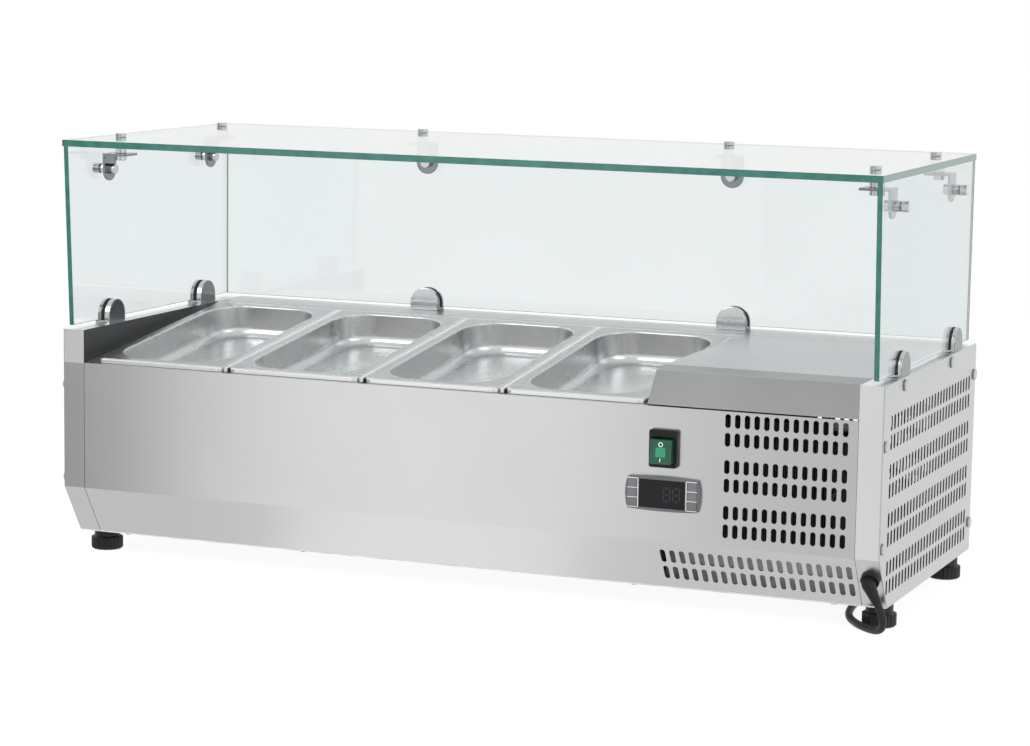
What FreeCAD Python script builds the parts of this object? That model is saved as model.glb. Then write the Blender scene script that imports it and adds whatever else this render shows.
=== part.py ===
"""Countertop topping fridge: a refrigerated pan rail with a glass guard that is open at the front.

Frame: X to the right, Y to the back, Z up, millimetres. The origin is on the counter, under the middle.
"""
import FreeCAD, Part
import math
import os
import re

import Sketcher

Vector = FreeCAD.Vector
Rotation = FreeCAD.Rotation
X_AXIS = Vector(1, 0, 0)
Y_AXIS = Vector(0, 1, 0)
Z_AXIS = Vector(0, 0, 1)

# Driving dimensions, in millimetres
SIZES = {
    # casing
    "tray_height": 28.0,
    "slope_rise": 62.0,
    "slope_depth": 40.0,
    "face_height": 157.0,
    "cap_rise": 41.0,
    "cap_width": 29.0,
    "sheet": 1.5,
    "seam": 0.2,
    "fold": 18.0,
    "upstand_rise": 50.0,
    "ledge_depth": 65.0,
    "ledge_lip": 8.0,
    "window_edge": 14.0,
    "bulkhead_step": 5.0,
    "bulkhead_drop": 4.0,
    "hood_width": 252.0,
    "hood_gap": 3.0,
    "hood_lean": 28.0,
    "hood_break": 28.0,
    "hood_bevel": 3.0,
    # pans and their well
    "pan_width": 176.0,
    "pan_length": 325.0,
    "pan_depth": 40.0,
    "well_depth": 150.0,
    "pan_gap": 6.0,
    "pan_margin": 15.0,
    "pan_front": 5.0,
    "pan_wall": 1.0,
    "pan_rim": 12.5,
    "pan_lip": 6.0,
    "pan_taper": 4.0,
    "pan_corner": 46.0,
    "pan_bottom_round": 14.0,
    "rim_corner": 10.0,
    "pan_seat": 0.3,
    "deck_back": 32.0,
    "tub_step": 7.0,
    "under_pan": 14.0,
    "bar_width": 5.0,
    "foam_gap": 0.5,
    "coil_pocket": 10.0,
    "passage_gap": 1.0,
    # glass guard
    "glass_thick": 6.0,
    "top_thick": 8.0,
    "guard_height": 235.0,
    "glass_inset": 8.0,
    "glass_overhang": 12.0,
    "glass_rake": 12.0,
    "glass_setback": 2.0,
    "back_inset": 10.0,
    "top_lap": 1.0,
    "pane_gap": 0.3,
    "clamp_width": 40.0,
    "clamp_straight": 9.0,
    "clamp_floor": 4.0,
    "clamp_inner": 8.0,
    "clamp_outer": 5.0,
    "gasket": 1.0,
    "clamp_front": 95.0,
    "clamp_rear": 85.0,
    "clamp_side": 213.0,
    "bracket_front": 75.0,
    "bracket_rear": 80.0,
    "bracket_side": 210.0,
    "post_radius": 7.0,
    "post_cap": 5.0,
    "post_body": 12.0,
    "post_nut": 6.0,
    "post_inset": 26.0,
    "strip_width": 30.0,
    "strip_thick": 3.0,
    "bolt_drop": 40.0,
    "bolt_radius": 6.5,
    "bolt_head": 9.0,
    "bolt_spacer": 8.0,
    "bolt_end": 8.0,
    "pin_radius": 4.0,
    "fit": 0.05,
    # vents
    "slot_width": 6.5,
    "slot_height": 16.0,
    "slot_drop": 11.0,
    "row_pitch": 21.5,
    "pair_pitch": 53.0,
    "column_pitch": 11.54,
    "column_edge": 15.0,
    "low_slot": 19.5,
    "low_pitch": 11.74,
    "low_edge": 9.0,
    "low_start": 22.5,
    "low_row_pitch": 26.0,
    "side_slot_width": 7.0,
    "side_slot_height": 17.5,
    "side_row_pitch": 22.1,
    "side_pair_pitch": 55.6,
    "side_column_pitch": 13.85,
    "side_slot_drop": 45.5,
    # fasteners
    "screw_radius": 7.0,
    "screw_head": 2.5,
    "screw_shank": 2.4,
    "screw_length": 7.0,
    "screw_edge": 9.0,
    "side_screw_front": 85.0,
    "side_screw_rear": 125.0,
    "side_screw_high": 69.5,
    "side_screw_low": 12.0,
    "back_screw_high": 38.0,
    "back_screw_low": 36.0,
    "small_head": 4.0,
    "tray_screw_edge": 10.0,
    "tray_screw_side": 36.0,
    "tray_screw_pitch": 244.0,
    # feet
    "foot_radius": 20.0,
    "foot_front": 75.0,
    "foot_rear": 50.0,
    "foot_side": 10.5,
    "foot_seat": 0.3,
    "foot_band": 15.0,
    "foot_edge": 2.0,
    "foot_neck": 16.0,
    "foot_stud": 4.0,
    "stud_length": 24.0,
    "nut_radius": 7.5,
    "nut_height": 7.0,
    "rib_radius": 1.6,
    # controls
    "control_step": 23.0,
    "switch_drop": 48.0,
    "switch_width": 34.0,
    "switch_height": 44.0,
    "switch_proud": 6.0,
    "switch_body": 22.0,
    "rocker_width": 26.0,
    "rocker_drop": 2.5,
    "rocker_half": 14.0,
    "rocker_depth": 7.0,
    "rocker_rise": 8.0,
    "rocker_back": 6.0,
    "rocker_throw": 10.0,
    "rocker_gap": 0.5,
    "rocker_axle": 2.0,
    "control_drop": 101.0,
    "control_width": 90.0,
    "control_height": 40.0,
    "control_proud": 6.0,
    "control_side_bow": 3.0,
    "control_top_bow": 1.5,
    "control_body": 34.0,
    "display_width": 56.0,
    "display_height": 33.0,
    "display_thick": 2.0,
    "key_width": 11.0,
    "key_height": 9.6,
    "key_pitch": 11.2,
    "key_depth": 3.0,
    "key_travel": 0.6,
    "key_gap": 0.3,
    # cooling unit
    "can_radius": 62.0,
    "can_height": 150.0,
    "can_round": 22.0,
    "can_back": 140.0,
    "plate_size": 146.0,
    "plate_thick": 3.0,
    "mount_radius": 9.0,
    "mount_height": 10.0,
    "box_width": 44.0,
    "box_depth": 28.0,
    "box_height": 50.0,
    "coil_front": 60.0,
    "coil_thick": 36.0,
    "coil_width": 164.0,
    "coil_shift": 20.0,
    "coil_flange": 8.0,
    "coil_height": 190.0,
    "coil_lift": 10.0,
    "shroud_depth": 14.0,
    "fan_radius": 72.0,
    "fan_hub": 24.0,
    "fan_depth": 22.0,
    "fan_pitch": 32.0,
    "fan_gap": 3.0,
    "blade_thick": 2.0,
    "blade_chord": 33.0,
    "blade_root": 3.0,
    "blade_tip": 2.0,
    "motor_radius": 32.0,
    "motor_length": 50.0,
    "arm_width": 14.0,
    "shaft_radius": 4.0,
    "shaft_stop": 4.0,
    "shaft_gap": 1.0,
    "outlet_height": 90.0,
    "inlet_height": 171.0,
    "drier_radius": 9.0,
    "drier_height": 90.0,
    "drier_front": 180.0,
    "tube_radius": 3.0,
    "capillary_radius": 1.5,
    "evaporator_radius": 4.0,
    "probe_radius": 3.0,
    "probe_length": 40.0,
    # mains lead
    "gland_radius": 11.0,
    "gland_thread": 8.0,
    "gland_flange": 4.0,
    "gland_elbow": 4.5,
    "gland_nose": 24.0,
    "gland_tip": 5.0,
    "gland_back": 10.0,
    "gland_drop": 30.0,
    "cord_radius": 4.5,
    "exit_run": 12.0,
    "coil_run": 17.0,
    "coil_radius": 58.0,
    "coil_pitch": 9.9,
    "coil_lie": 5.7,
    "tie_thick": 0.8,
    "tie_width": 8.0,
    "tie_gap": 0.3,
    "tie_slack": 1.5,
    "plug_radius": 17.0,
    "plug_length": 34.0,
    "plug_nose": 16.0,
    "plug_neck": 1.5,
    "plug_shoulder": 13.6,
    "plug_pin": 2.4,
    "plug_pin_length": 19.0,
    "plug_pin_pitch": 19.0,
}

PAN_COUNT = 4
FRONT_COLUMNS = 13
LOW_COLUMNS = 20
SIDE_COLUMNS = 27
FRONT_PAIRS = 3
SIDE_PAIRS = 4
FOOT_RIBS = 22
BLADE_COUNT = 5
EVAPORATOR_PASSES = 8
COIL_HALF_TURNS = 4
RUN_SHARE = 0.45
SAMPLE_STEP = 4.0

# Places that follow from the driving dimensions; y places counted from the front face end in "_in"
PLACES = {
    "tilt": "asin(cap_rise / deck_length)",
    "deck_length": "pan_front + pan_length + deck_back",
    "ledge_in": "deck_length * cos(tilt) + sheet * sin(tilt) + seam",
    "body_depth": "ledge_in + ledge_depth",
    "body_width": "2 * cap_width + pan_margin + pans_width + hood_gap + hood_width",
    "pans_width": "4 * pan_width + 3 * pan_gap",
    "half": "body_width / 2",
    "cap_in": "half - cap_width",
    "front_y": "-(body_depth - glass_overhang + screw_head) / 2",
    "back_y": "front_y + body_depth",
    "tray_top": "tray_height + sheet",
    "bend": "tray_height + slope_rise",
    "front_top": "bend + face_height",
    "cap_top": "front_top + cap_rise",
    "glass_top": "cap_top + guard_height",
    "lean": "slope_depth / slope_rise",
    "slope_length": "sqrt(slope_depth ^ 2 + slope_rise ^ 2)",
    "slope_wall": "sheet * slope_length / slope_rise",
    "slope_foot": "lean * (bend - tray_top)",
    "pan_start": "-cap_in + pan_margin",
    "pan_end": "pan_start + pans_width",
    "pan_rest": "pan_lip + pan_seat",
    "hood_left": "pan_end + hood_gap",
    "hood_in": "sheet + seam",
    "hood_rise": "cap_rise - sheet - hood_bevel",
    "hood_skin": "sheet * sqrt(hood_lean ^ 2 + hood_rise ^ 2) / hood_rise",
    "bulkhead_x": "hood_left + bulkhead_step",
    "tub_left": "pan_start + tub_step",
    "tub_right": "pan_end - tub_step",
    "tub_front": "pan_front + tub_step",
    "tub_back": "pan_front + pan_length - tub_step",
    "tub_depth": "well_depth - pan_rest + under_pan",
    "pane_in": "half - glass_inset - glass_thick",
    "back_pane_in": "body_depth - back_inset - glass_thick",
    "glass_foot": "cap_top + clamp_floor + gasket",
    "pane_top": "glass_top - top_thick - pane_gap",
    "bolt_z": "glass_top - bolt_drop",
    "control_x": "hood_left + control_step",
    "switch_z": "front_top - switch_drop",
    "control_z": "front_top - control_drop",
    "rocker_z": "switch_z - rocker_drop",
    "rocker_in": "rocker_depth - switch_proud",
    "rocker_face": "-switch_proud - rocker_rise",
    "rocker_swing": "rocker_half * sin(rocker_throw)",
    "rocker_sweep": "(rocker_depth + rocker_swing) * tan(rocker_throw)",
    "rocker_reach": "rocker_half * cos(rocker_throw) + rocker_sweep + rocker_gap",
    "foot_x": "cap_in + foot_side",
    "unit_x": "(bulkhead_x + sheet + cap_in) / 2",
    "coil_x": "unit_x - coil_shift",
    "can_in": "body_depth - can_back",
    "can_bottom": "tray_top + mount_height + plate_thick",
    "core_bottom": "tray_top + coil_lift",
    "core_back": "coil_front + coil_thick",
    "fan_z": "core_bottom + coil_height / 2",
    "fan_in": "core_back + sheet + fan_gap",
    "motor_in": "fan_in + fan_depth + fan_gap",
    "coil_below": "-(tub_depth + sheet + pane_gap + evaporator_radius)",
    "gland_z": "bend - gland_drop * slope_rise / slope_length",
    "gland_in": "gland_drop * slope_depth / slope_length",
    "gland_x": "(cap_in + half) / 2",
}

WORD = re.compile(r"[A-Za-z_][A-Za-z_0-9]*")


def bind(text):
    """Return a formula with every named size written as a reference to its cell."""
    def swap(match):
        word = match.group(0)
        if word in PLACES:
            return "(" + bind(PLACES[word]) + ")"
        if word in SIZES:
            return "Sizes." + word
        return word
    return WORD.sub(swap, str(text))


def value(text):
    """Return the number that a formula of named sizes gives."""
    answer = sizes.evalExpression(bind(text))
    return float(getattr(answer, "Value", answer))


doc = FreeCAD.newDocument("topping_fridge")
sizes = doc.addObject("Spreadsheet::Sheet", "Sizes")
for row, (alias, number) in enumerate(SIZES.items(), start=1):
    sizes.set("A%d" % row, alias)
    sizes.set("B%d" % row, str(number))
    sizes.setAlias("B%d" % row, alias)
doc.recompute()

nodes = []


def node(obj):
    """Keep an object as one of the named sub-parts."""
    obj.Label = obj.Name
    nodes.append(obj)
    return obj


def place(obj, x, y, z):
    """Bind an object's base point to three formulas."""
    for axis, text in zip("xyz", (x, y, z)):
        obj.setExpression("Placement.Base." + axis, bind(text))


def place_on_deck(obj, x, along, above):
    """Bind an object to the sloping deck: along it from the front edge, and above its top face."""
    obj.Placement = FreeCAD.Placement(Vector(), Rotation(X_AXIS, 10))
    obj.setExpression("Placement.Rotation.Angle", bind("tilt"))
    place(
        obj,
        x,
        "front_y + (%s) * cos(tilt) - (%s) * sin(tilt)" % (along, above),
        "front_top + (%s) * sin(tilt) + (%s) * cos(tilt)" % (along, above),
    )


def box(name, at, extent, placer=place):
    """Make a box from its low corner and its extents."""
    obj = doc.addObject("Part::Box", name)
    for prop, text in zip(("Length", "Width", "Height"), extent):
        obj.setExpression(prop, bind(text))
    placer(obj, *at)
    return obj


TURN_TO = {"x": Rotation(Y_AXIS, 90), "y": Rotation(X_AXIS, -90), "z": Rotation()}


def rod(name, axis, at, radius, length):
    """Make a cylinder along a row axis from the middle of its low end."""
    obj = doc.addObject("Part::Cylinder", name)
    obj.setExpression("Radius", bind(radius))
    obj.setExpression("Height", bind(length))
    obj.Placement = FreeCAD.Placement(Vector(), TURN_TO[axis])
    place(obj, *at)
    return obj


def joined(name, parts):
    """Fuse touching objects to one solid."""
    obj = doc.addObject("Part::MultiFuse", name)
    obj.Shapes = parts
    obj.Refine = True
    return obj


def grouped(name, parts):
    """Keep separate solids in one sub-part."""
    obj = doc.addObject("Part::Compound", name)
    obj.Links = parts
    return obj


def cut(name, base, tools):
    """Cut a list of objects, which do not overlap each other, out of a base."""
    obj = doc.addObject("Part::Cut", name)
    obj.Base = base
    obj.Tool = tools[0] if len(tools) == 1 else grouped(name + "_tools", tools)
    return obj


def shaped(name, shape, placement=None):
    """Make an object from a ready shape."""
    obj = doc.addObject("Part::Feature", name)
    obj.Shape = shape
    if placement is not None:
        obj.Placement = placement
    return obj


def outline(body, role, points, name, offset=None):
    """Draw a closed outline on one of a body's own planes, each corner bound to formulas."""
    sketch = body.newObject("Sketcher::SketchObject", name)
    plane = [f for f in body.Origin.OriginFeatures if f.Role == role][0]
    sketch.AttachmentSupport = [(plane, "")]
    sketch.MapMode = "FlatFace"
    if offset is not None:
        sketch.setExpression("AttachmentOffset.Base.z", bind(offset))
    corners = [Vector(value(u), value(v), 0) for u, v in points]
    count = len(corners)
    for i in range(count):
        sketch.addGeometry(Part.LineSegment(corners[i], corners[(i + 1) % count]), False)
    for i, (u, v) in enumerate(points):
        sketch.addConstraint(Sketcher.Constraint("Coincident", i, 2, (i + 1) % count, 1))
        across = ("DistanceX", -2, u, corners[i].x)
        upward = ("DistanceY", -1, v, corners[i].y)
        for kind, axis_line, text, number in (across, upward):
            if str(text) == "0":
                sketch.addConstraint(Sketcher.Constraint("PointOnObject", i, 1, axis_line))
            else:
                index = sketch.addConstraint(Sketcher.Constraint(kind, -1, 1, i, 1, number))
                sketch.setExpression("Constraints[%d]" % index, bind(text))
    return sketch


def pad(body, sketch, length, name, backwards=False, taper=None):
    """Raise a sketch to a solid."""
    feature = body.newObject("PartDesign::Pad", name)
    feature.Profile = sketch
    feature.setExpression("Length", bind(length))
    feature.Reversed = backwards
    if taper is not None:
        feature.setExpression("TaperAngle", bind(taper))
    return feature


def plate(name, points, length, x):
    """Make a body from an outline in depth and height, raised along X."""
    body = doc.addObject("PartDesign::Body", name)
    pad(body, outline(body, "YZ_Plane", points, name + "_outline"), length, name + "_pad")
    place(body, x, "front_y", "0")
    return body


def round_edges(body, name, radius, wanted):
    """Fillet the edges of a body's last feature that a test picks."""
    doc.recompute()
    base = body.Tip
    picked = ["Edge%d" % (i + 1) for i, edge in enumerate(base.Shape.Edges) if wanted(edge)]
    feature = body.newObject("PartDesign::Fillet", name)
    feature.Base = (base, picked)
    feature.setExpression("Radius", bind(radius))
    return feature


def obround(width, height, depth):
    """Return a slot-shaped prism about the origin, its length along Z and its depth along Y."""
    half_width = width / 2
    reach = height / 2 - half_width
    low_right = Vector(half_width, 0, -reach)
    high_right = Vector(half_width, 0, reach)
    high_left = Vector(-half_width, 0, reach)
    low_left = Vector(-half_width, 0, -reach)
    edges = [
        Part.LineSegment(low_right, high_right),
        Part.Arc(high_right, Vector(0, 0, height / 2), high_left),
        Part.LineSegment(high_left, low_left),
        Part.Arc(low_left, Vector(0, 0, -height / 2), low_right),
    ]
    face = Part.Face(Part.Wire([edge.toShape() for edge in edges]))
    face.translate(Vector(0, -depth / 2, 0))
    return face.extrude(Vector(0, depth, 0))


def slots(name, width, height, spots, rotation):
    """Make a field of slot cutters at the given points."""
    prism = obround(width, height, 8 * value("sheet"))
    copies = []
    for spot in spots:
        copy = prism.copy()
        copy.Placement = FreeCAD.Placement(spot, rotation)
        copies.append(copy)
    return shaped(name, Part.makeCompound(copies))


def rows_in_pairs(top, pairs, pair_pitch, row_pitch):
    """Return the heights of rows that stand in pairs, from the top down."""
    return [top - pair * pair_pitch - step * row_pitch for pair in range(pairs) for step in range(2)]


def screw(name, axis, at, outward, head_radius):
    """Make a pan-head screw: its head outside a face, its shank through the sheet behind it."""
    places = dict(zip("xyz", at))
    head = dict(places)
    shank = dict(places)
    if outward > 0:
        shank[axis] = "%s - screw_length" % places[axis]
    else:
        head[axis] = "%s - screw_head" % places[axis]
    parts = [
        rod(name + "_head", axis, tuple(head[k] for k in "xyz"), head_radius, "screw_head"),
        rod(name + "_shank", axis, tuple(shank[k] for k in "xyz"), "screw_shank", "screw_length"),
    ]
    return joined(name, parts)


def screw_hole(name, axis, at, length="4 * sheet"):
    """Make the cutter for a screw's clearance hole through a sheet."""
    places = dict(zip("xyz", at))
    places[axis] = "%s - (%s) / 2" % (places[axis], length)
    return rod(name, axis, tuple(places[k] for k in "xyz"), "screw_shank + fit", length)


# Screw and foot places
side_spots = [
    ("side_screw_front", "cap_top - screw_edge"),
    ("body_depth - side_screw_rear", "cap_top - screw_edge"),
    ("screw_edge", "cap_top - side_screw_high"),
    ("screw_edge", "bend + side_screw_low"),
    ("body_depth - screw_edge", "cap_top - back_screw_high"),
    ("body_depth - screw_edge", "tray_height + back_screw_low"),
]
tray_spots = [
    ("cap_in - tray_screw_side", "front_y + slope_foot + tray_screw_edge"),
    ("cap_in - tray_screw_side - tray_screw_pitch", "front_y + slope_foot + tray_screw_edge"),
    ("-cap_in + tray_screw_side + tray_screw_pitch", "front_y + slope_foot + tray_screw_edge"),
    ("-cap_in + tray_screw_side", "front_y + slope_foot + tray_screw_edge"),
]
foot_spots = {
    "front_left": ("-foot_x", "front_y + foot_front"),
    "front_right": ("foot_x", "front_y + foot_front"),
    "rear_left": ("-foot_x", "back_y - foot_rear"),
    "rear_right": ("foot_x", "back_y - foot_rear"),
}

# Bottom tray, with an upstand before the condenser and holes for the foot studs and the front screws
tray_plate = box(
    "tray_plate",
    ("-half + sheet", "front_y + slope_foot", "tray_height"),
    ("body_width - 2 * sheet", "body_depth - slope_foot - sheet", "sheet"),
)
tray_upstand = box(
    "tray_upstand",
    ("bulkhead_x + 2 * sheet", "front_y + slope_foot + fold + 2 * seam", "tray_top"),
    ("cap_in - bulkhead_x - 3 * sheet", "sheet", "upstand_rise"),
)
tray_holes = [
    rod("stud_hole_" + key, "z", (x, y, "tray_height - sheet"), "foot_stud + fit", "4 * sheet")
    for key, (x, y) in foot_spots.items()
]
tray_holes += [
    screw_hole("tray_hole_%d" % i, "z", (x, y, "tray_top")) for i, (x, y) in enumerate(tray_spots)
]
node(cut("base_tray", joined("tray_block", [tray_plate, tray_upstand]), tray_holes))

# Front panel: an upright face, a sloping skirt and a flange that lies on the tray
panel_sheet = plate(
    "panel_sheet",
    [
        ("0", "front_top"),
        ("0", "bend"),
        ("slope_foot", "tray_top"),
        ("slope_foot + fold", "tray_top"),
        ("slope_foot + fold", "tray_top + sheet"),
        ("lean * (bend - tray_top - sheet) + slope_wall", "tray_top + sheet"),
        ("sheet", "bend + (slope_wall - sheet) / lean"),
        ("sheet", "front_top"),
    ],
    "2 * (cap_in - seam)",
    "-cap_in + seam",
)
front_rows = rows_in_pairs(
    value("front_top - slot_drop"), FRONT_PAIRS, value("pair_pitch"), value("row_pitch")
)
front_columns = [-column * value("column_pitch") for column in range(FRONT_COLUMNS)]
front_slots = slots(
    "front_slots",
    value("slot_width"),
    value("slot_height"),
    [
        Vector(value("cap_in - column_edge") + step, value("front_y + sheet / 2"), z)
        for step in front_columns
        for z in front_rows
    ],
    Rotation(),
)
slope_turn = Rotation(X_AXIS, value("atan(lean)"))
low_slots = slots(
    "low_slots",
    value("slot_width"),
    value("low_slot"),
    [
        Vector(
            value("cap_in - low_edge") - column * value("low_pitch"),
            value("front_y") + along * value("slope_depth / slope_length") + value("sheet / 2"),
            value("bend") - along * value("slope_rise / slope_length"),
        )
        for column in range(LOW_COLUMNS)
        for along in (value("low_start"), value("low_start + low_row_pitch"))
    ],
    slope_turn,
)
cutout_left = "bulkhead_x + 2 * sheet"
switch_cutout = box(
    "switch_cutout",
    (cutout_left, "front_y - sheet", "switch_z - switch_height / 2 + sheet"),
    (
        "control_x + switch_width / 2 - sheet - (%s)" % cutout_left,
        "4 * sheet",
        "switch_height - 2 * sheet",
    ),
)
controller_cutout = box(
    "controller_cutout",
    (cutout_left, "front_y - sheet", "control_z - control_height / 2 + 2 * sheet"),
    (
        "control_x + control_width / 2 - 4 * sheet - (%s)" % cutout_left,
        "4 * sheet",
        "control_height - 4 * sheet",
    ),
)
panel_openings = [front_slots, low_slots, switch_cutout, controller_cutout]
panel_openings += [
    screw_hole("flange_hole_%d" % i, "z", (x, y, "tray_top + sheet / 2"))
    for i, (x, y) in enumerate(tray_spots)
]
node(cut("front_panel", panel_sheet, panel_openings))
tray_screws = [
    screw("tray_screw_%d" % i, "z", (x, y, "tray_height"), -1, "small_head")
    for i, (x, y) in enumerate(tray_spots)
]
node(grouped("tray_screws", tray_screws))

# Rear panel: an upright sheet with vents behind the cooling unit, folded forward to the glass ledge
back_sheet = plate(
    "back_sheet",
    [
        ("body_depth", "tray_height"),
        ("body_depth", "cap_top"),
        ("ledge_in", "cap_top"),
        ("ledge_in", "cap_top - ledge_lip"),
        ("ledge_in + sheet", "cap_top - ledge_lip"),
        ("ledge_in + sheet", "cap_top - sheet"),
        ("body_depth - sheet", "cap_top - sheet"),
        ("body_depth - sheet", "tray_height"),
    ],
    "2 * (cap_in - seam)",
    "-cap_in + seam",
)
back_slots = slots(
    "back_slots",
    value("slot_width"),
    value("slot_height"),
    [
        Vector(value("cap_in - 2 * column_edge") + step, value("back_y - sheet / 2"), z)
        for step in front_columns
        for z in front_rows
    ],
    Rotation(),
)
back_spots = [
    ("%s * (cap_in - screw_edge)" % side, z)
    for side in ("1", "-1")
    for z in ("cap_top - back_screw_high", "tray_height + back_screw_low")
]
back_spots += [("0", "cap_top - back_screw_high"), ("0", "tray_height + back_screw_low")]
back_openings = [back_slots]
back_openings += [
    screw_hole("back_hole_%d" % i, "y", (x, "back_y - sheet / 2", z)) for i, (x, z) in enumerate(back_spots)
]
node(cut("rear_panel", back_sheet, back_openings))
back_screws = [
    screw("back_screw_%d" % i, "y", (x, "back_y", z), 1, "small_head") for i, (x, z) in enumerate(back_spots)
]
node(grouped("rear_screws", back_screws))


def cap_ring(inset):
    """Return the outline of a strip that runs up the front, over the top and down the back of an end."""
    wall = "(%s) * slope_length / slope_rise" % inset
    return [
        ("slope_foot", "tray_top"),
        ("0", "bend"),
        ("0", "cap_top"),
        ("body_depth", "cap_top"),
        ("body_depth", "tray_top"),
        ("body_depth - (%s)" % inset, "tray_top"),
        ("body_depth - (%s)" % inset, "cap_top - (%s)" % inset),
        (inset, "cap_top - (%s)" % inset),
        (inset, "bend + (%s - (%s)) / lean" % (wall, inset)),
        ("slope_foot + %s" % wall, "tray_top"),
    ]


def end_cap(name, side):
    """Make a hollow end: inner wall, outer strip and a return flange for the side panel's screws."""
    body = doc.addObject("PartDesign::Body", name + "_shell")
    away = side < 0
    profile = [
        ("slope_foot", "tray_top"),
        ("0", "bend"),
        ("0", "cap_top"),
        ("body_depth", "cap_top"),
        ("body_depth", "tray_top"),
    ]
    wall = outline(body, "YZ_Plane", profile, name + "_wall_outline")
    pad(body, wall, "sheet", name + "_wall", away)
    strip = outline(body, "YZ_Plane", cap_ring("sheet"), name + "_strip_outline")
    pad(body, strip, "cap_width - sheet", name + "_strip", away)
    flange = outline(
        body, "YZ_Plane", cap_ring("fold"), name + "_flange_outline", "%d * (cap_width - 2 * sheet)" % side
    )
    pad(body, flange, "sheet", name + "_flange", away)
    place(body, "%d * cap_in" % side, "front_y", "0")
    x = "%d * (half - sheet)" % side
    tools = [
        screw_hole("%s_hole_%d" % (name, i), "x", (x, "front_y + " + y, z), "6 * sheet")
        for i, (y, z) in enumerate(side_spots)
    ]
    return body, tools


left_shell, left_tools = end_cap("left_end_cap", -1)
node(cut("left_end_cap", left_shell, left_tools))

right_shell, right_tools = end_cap("right_end_cap", 1)
right_tools.append(
    box(
        "air_window",
        ("cap_in - sheet", "front_y + slope_depth + window_edge", "tray_top + window_edge"),
        ("3 * sheet", "body_depth - slope_depth - 2 * window_edge", "front_top - tray_top - 2 * window_edge"),
    )
)
gland_hole = rod("gland_hole", "z", ("0", "0", "0"), "gland_thread + fit", "6 * sheet")
gland_turn = Rotation(X_AXIS, 90 + value("atan(lean)"))
gland_hole.Placement = FreeCAD.Placement(Vector(), gland_turn)
place(
    gland_hole,
    "gland_x",
    "front_y + gland_in + 3 * sheet * slope_rise / slope_length",
    "gland_z + 3 * sheet * slope_depth / slope_length",
)
right_tools.append(gland_hole)
node(cut("right_end_cap", right_shell, right_tools))

# Side panels: the right one is a grille
side_profile = [
    ("0", "cap_top"),
    ("0", "bend"),
    ("slope_depth", "tray_height"),
    ("body_depth", "tray_height"),
    ("body_depth", "cap_top"),
]
side_holes = {}
for side, key in ((-1, "left"), (1, "right")):
    side_holes[key] = [
        screw_hole("%s_side_hole_%d" % (key, i), "x", ("%d * (half - sheet / 2)" % side, "front_y + " + y, z))
        for i, (y, z) in enumerate(side_spots)
    ]
left_plate = plate("left_side_sheet", side_profile, "sheet", "-half")
node(cut("left_side_panel", left_plate, side_holes["left"]))
right_plate = plate("right_side_sheet", side_profile, "sheet", "half - sheet")
side_rows = rows_in_pairs(
    value("cap_top - side_slot_drop"), SIDE_PAIRS, value("side_pair_pitch"), value("side_row_pitch")
)
side_columns = [
    (column - (SIDE_COLUMNS - 1) / 2) * value("side_column_pitch") for column in range(SIDE_COLUMNS)
]
side_slots = slots(
    "side_slots",
    value("side_slot_width"),
    value("side_slot_height"),
    [
        Vector(value("half - sheet / 2"), value("front_y + body_depth / 2") + step, z)
        for step in side_columns
        for z in side_rows
    ],
    Rotation(Z_AXIS, 90),
)
node(cut("right_side_grille", right_plate, side_holes["right"] + [side_slots]))
side_screws = [
    screw("side_screw_%s_%d" % (key, i), "x", ("%d * half" % side, "front_y + " + y, z), side, "screw_radius")
    for side, key in ((-1, "left"), (1, "right"))
    for i, (y, z) in enumerate(side_spots)
]
node(grouped("side_screws", side_screws))

# Hood over the cooling unit: a front that leans back, a slight break, a flat top and a wall beside the pans
hood_shell = doc.addObject("PartDesign::Body", "compressor_hood")
hood_top = [
    ("hood_in", "front_top + sheet"),
    ("hood_in + hood_lean", "cap_top - hood_bevel"),
    ("hood_in + hood_lean + hood_break", "cap_top"),
    ("ledge_in - seam", "cap_top"),
    ("ledge_in - seam", "cap_top - sheet"),
    ("hood_in + hood_lean + hood_break", "cap_top - sheet"),
    ("hood_in + hood_lean + sheet / 2", "cap_top - hood_bevel - sheet"),
    ("hood_in + hood_skin", "front_top + sheet"),
]
pad(
    hood_shell, outline(hood_shell, "YZ_Plane", hood_top, "hood_top_outline"), "hood_width - seam", "hood_top"
)
hood_wall = hood_top[:4] + [("ledge_in - seam", "front_top + sheet")]
pad(hood_shell, outline(hood_shell, "YZ_Plane", hood_wall, "hood_wall_outline"), "sheet", "hood_wall")
place(hood_shell, "hood_left", "front_y", "0")
node(hood_shell)

# Bulkhead between the well and the cooling unit, with two holes for the evaporator's ends
core_profile = [
    ("sheet + foam_gap", "bend + (slope_wall - sheet) / lean"),
    (
        "lean * (bend - tray_top - sheet - foam_gap) + slope_wall + foam_gap",
        "tray_top + sheet + foam_gap",
    ),
    ("body_depth - sheet - foam_gap", "tray_top + sheet + foam_gap"),
]
bulkhead_plate = plate(
    "bulkhead_sheet",
    core_profile
    + [
        ("body_depth - sheet - foam_gap", "front_top - bulkhead_drop"),
        ("sheet + foam_gap", "front_top - bulkhead_drop"),
    ],
    "sheet",
    "bulkhead_x",
)
PASS_LOW = "tub_front + 4 * evaporator_radius"
PASS_HIGH = "tub_back - 4 * evaporator_radius"
passages = []
for key, along in (("low", PASS_LOW), ("high", PASS_HIGH)):
    hole = rod("bulkhead_hole_" + key, "x", ("0", "0", "0"), "evaporator_radius + passage_gap", "4 * sheet")
    place(
        hole,
        "bulkhead_x - sheet",
        "front_y + (%s) * cos(tilt) - coil_below * sin(tilt)" % along,
        "front_top + (%s) * sin(tilt) + coil_below * cos(tilt)" % along,
    )
    passages.append(hole)
node(cut("bulkhead", bulkhead_plate, passages))

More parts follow.
